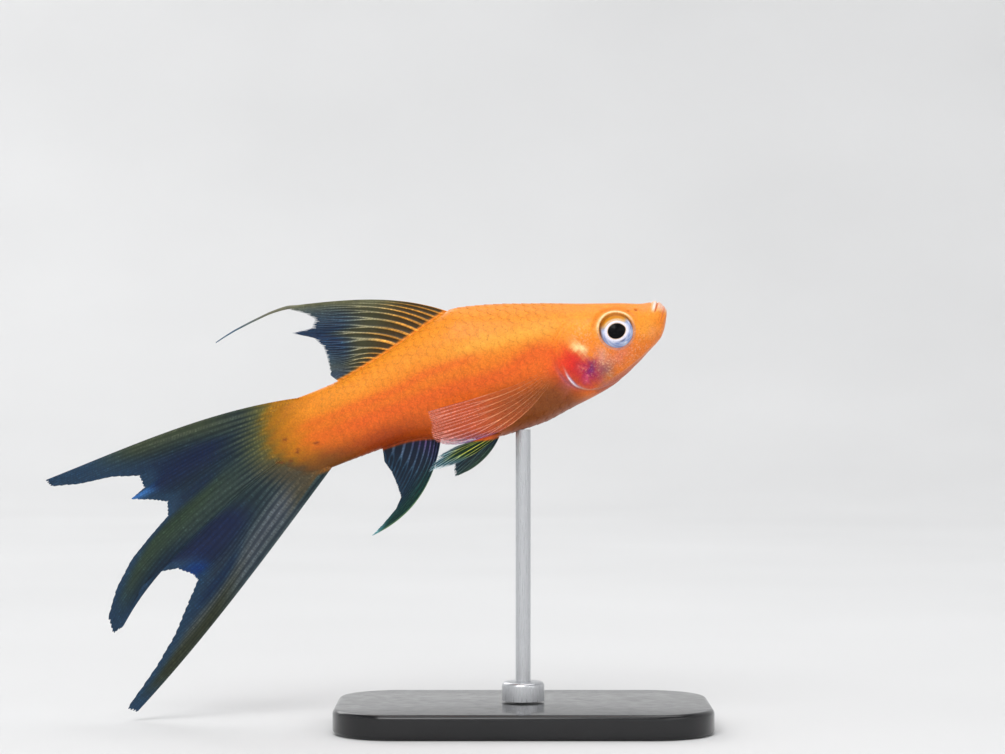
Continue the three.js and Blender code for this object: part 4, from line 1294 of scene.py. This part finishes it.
def build_studio():
    """A pale floor that curves up into a pale wall all round, soft lamps and an even sky."""
    look = Look("studio_pale", Roughness=0.85, Specular_IOR_Level=0.2)
    look.set("Base Color", look.blend(look.speckle(6, 2), (0.70, 0.70, 0.70, 1), (0.74, 0.74, 0.74, 1)))
    flat, wall, height, sides = 700, 1400, 1500, 128
    bend = np.linspace(0, math.pi / 2, 24)
    profile = [(r, 0) for r in (1, 200, 400, flat)]
    profile += [(flat + (wall - flat) * math.sin(t), (wall - flat) * (1 - math.cos(t))) for t in bend[1:]]
    profile += [(wall, height)]
    rings = turned(profile, sides)
    mesh = bpy.data.meshes.new("studio_floor")
    mesh.from_pydata(rings.reshape(-1, 3).tolist(), [], grid_faces(*rings.shape[:2], wrap=True).tolist()
                     + [list(range(sides - 1, -1, -1))])
    mesh.polygons.foreach_set("use_smooth", np.ones(len(mesh.polygons), bool))
    mesh.materials.append(look.material)
    floor = bpy.data.objects.new("studio_floor", mesh)
    bpy.context.scene.collection.objects.link(floor)
    add_lamp("lamp_key", (-0.32, -0.96, 1.12), 0.8, 10.6)
    add_lamp("lamp_top", (0.16, 0.16, 1.4), 1.1, 7.6)
    add_lamp("lamp_fill", (0.9, -0.9, 0.4), 0.9, 3.0)
    add_lamp("lamp_rear", (-0.6, 1.0, 0.8), 0.9, 4.6)
    world = bpy.data.worlds.new("studio_sky")
    world.use_nodes = True
    sky = world.node_tree.nodes["Background"]
    sky.inputs["Color"].default_value = (0.92, 0.95, 1.0, 1)
    sky.inputs["Strength"].default_value = 0.27
    bpy.context.scene.world = world


def add_lamp(name, spot_at, size, power):
    """A square soft lamp that faces the fish."""
    data = bpy.data.lights.new(name, "AREA")
    data.shape = "SQUARE"
    data.size = size
    data.energy = power
    lamp = bpy.data.objects.new(name, data)
    lamp.location = spot_at
    target = bpy.data.objects["skin"].bound_box
    middle = [sum(corner[axis] for corner in target) / 8 for axis in range(3)]
    direction = np.array(middle) - np.array(spot_at)
    lamp.rotation_euler = (
        math.atan2(math.hypot(direction[0], direction[1]), -direction[2]),
        0,
        math.atan2(direction[1], direction[0]) - math.pi / 2,
    )
    lamp.visible_camera = False
    bpy.context.scene.collection.objects.link(lamp)


def build_camera():
    data = bpy.data.cameras.new("photo_camera")
    data.lens = CAMERA["lens"]
    data.sensor_width = CAMERA["sensor"]
    data.clip_start = 0.01
    camera = bpy.data.objects.new("photo_camera", data)
    camera.location = np.array([CAMERA["x"], -CAMERA["distance"], CAMERA["height"]]) * MM
    camera.rotation_euler = (math.pi / 2, 0, 0)
    bpy.context.scene.collection.objects.link(camera)
    bpy.context.scene.camera = camera
    bpy.context.scene.view_settings.view_transform = "Standard"


skin_material = skin_look("fish_skin")
build_skin(skin_material)
build_scales(skin_material)
eye_material = eye_look()
build_eye(-1, "eyeball_right", "eye_right", eye_material)
build_eye(1, "eyeball_left", "eye_left", eye_material)
build_fins(fin_look("fish_fin"))
build_stand()
build_studio()
build_camera()
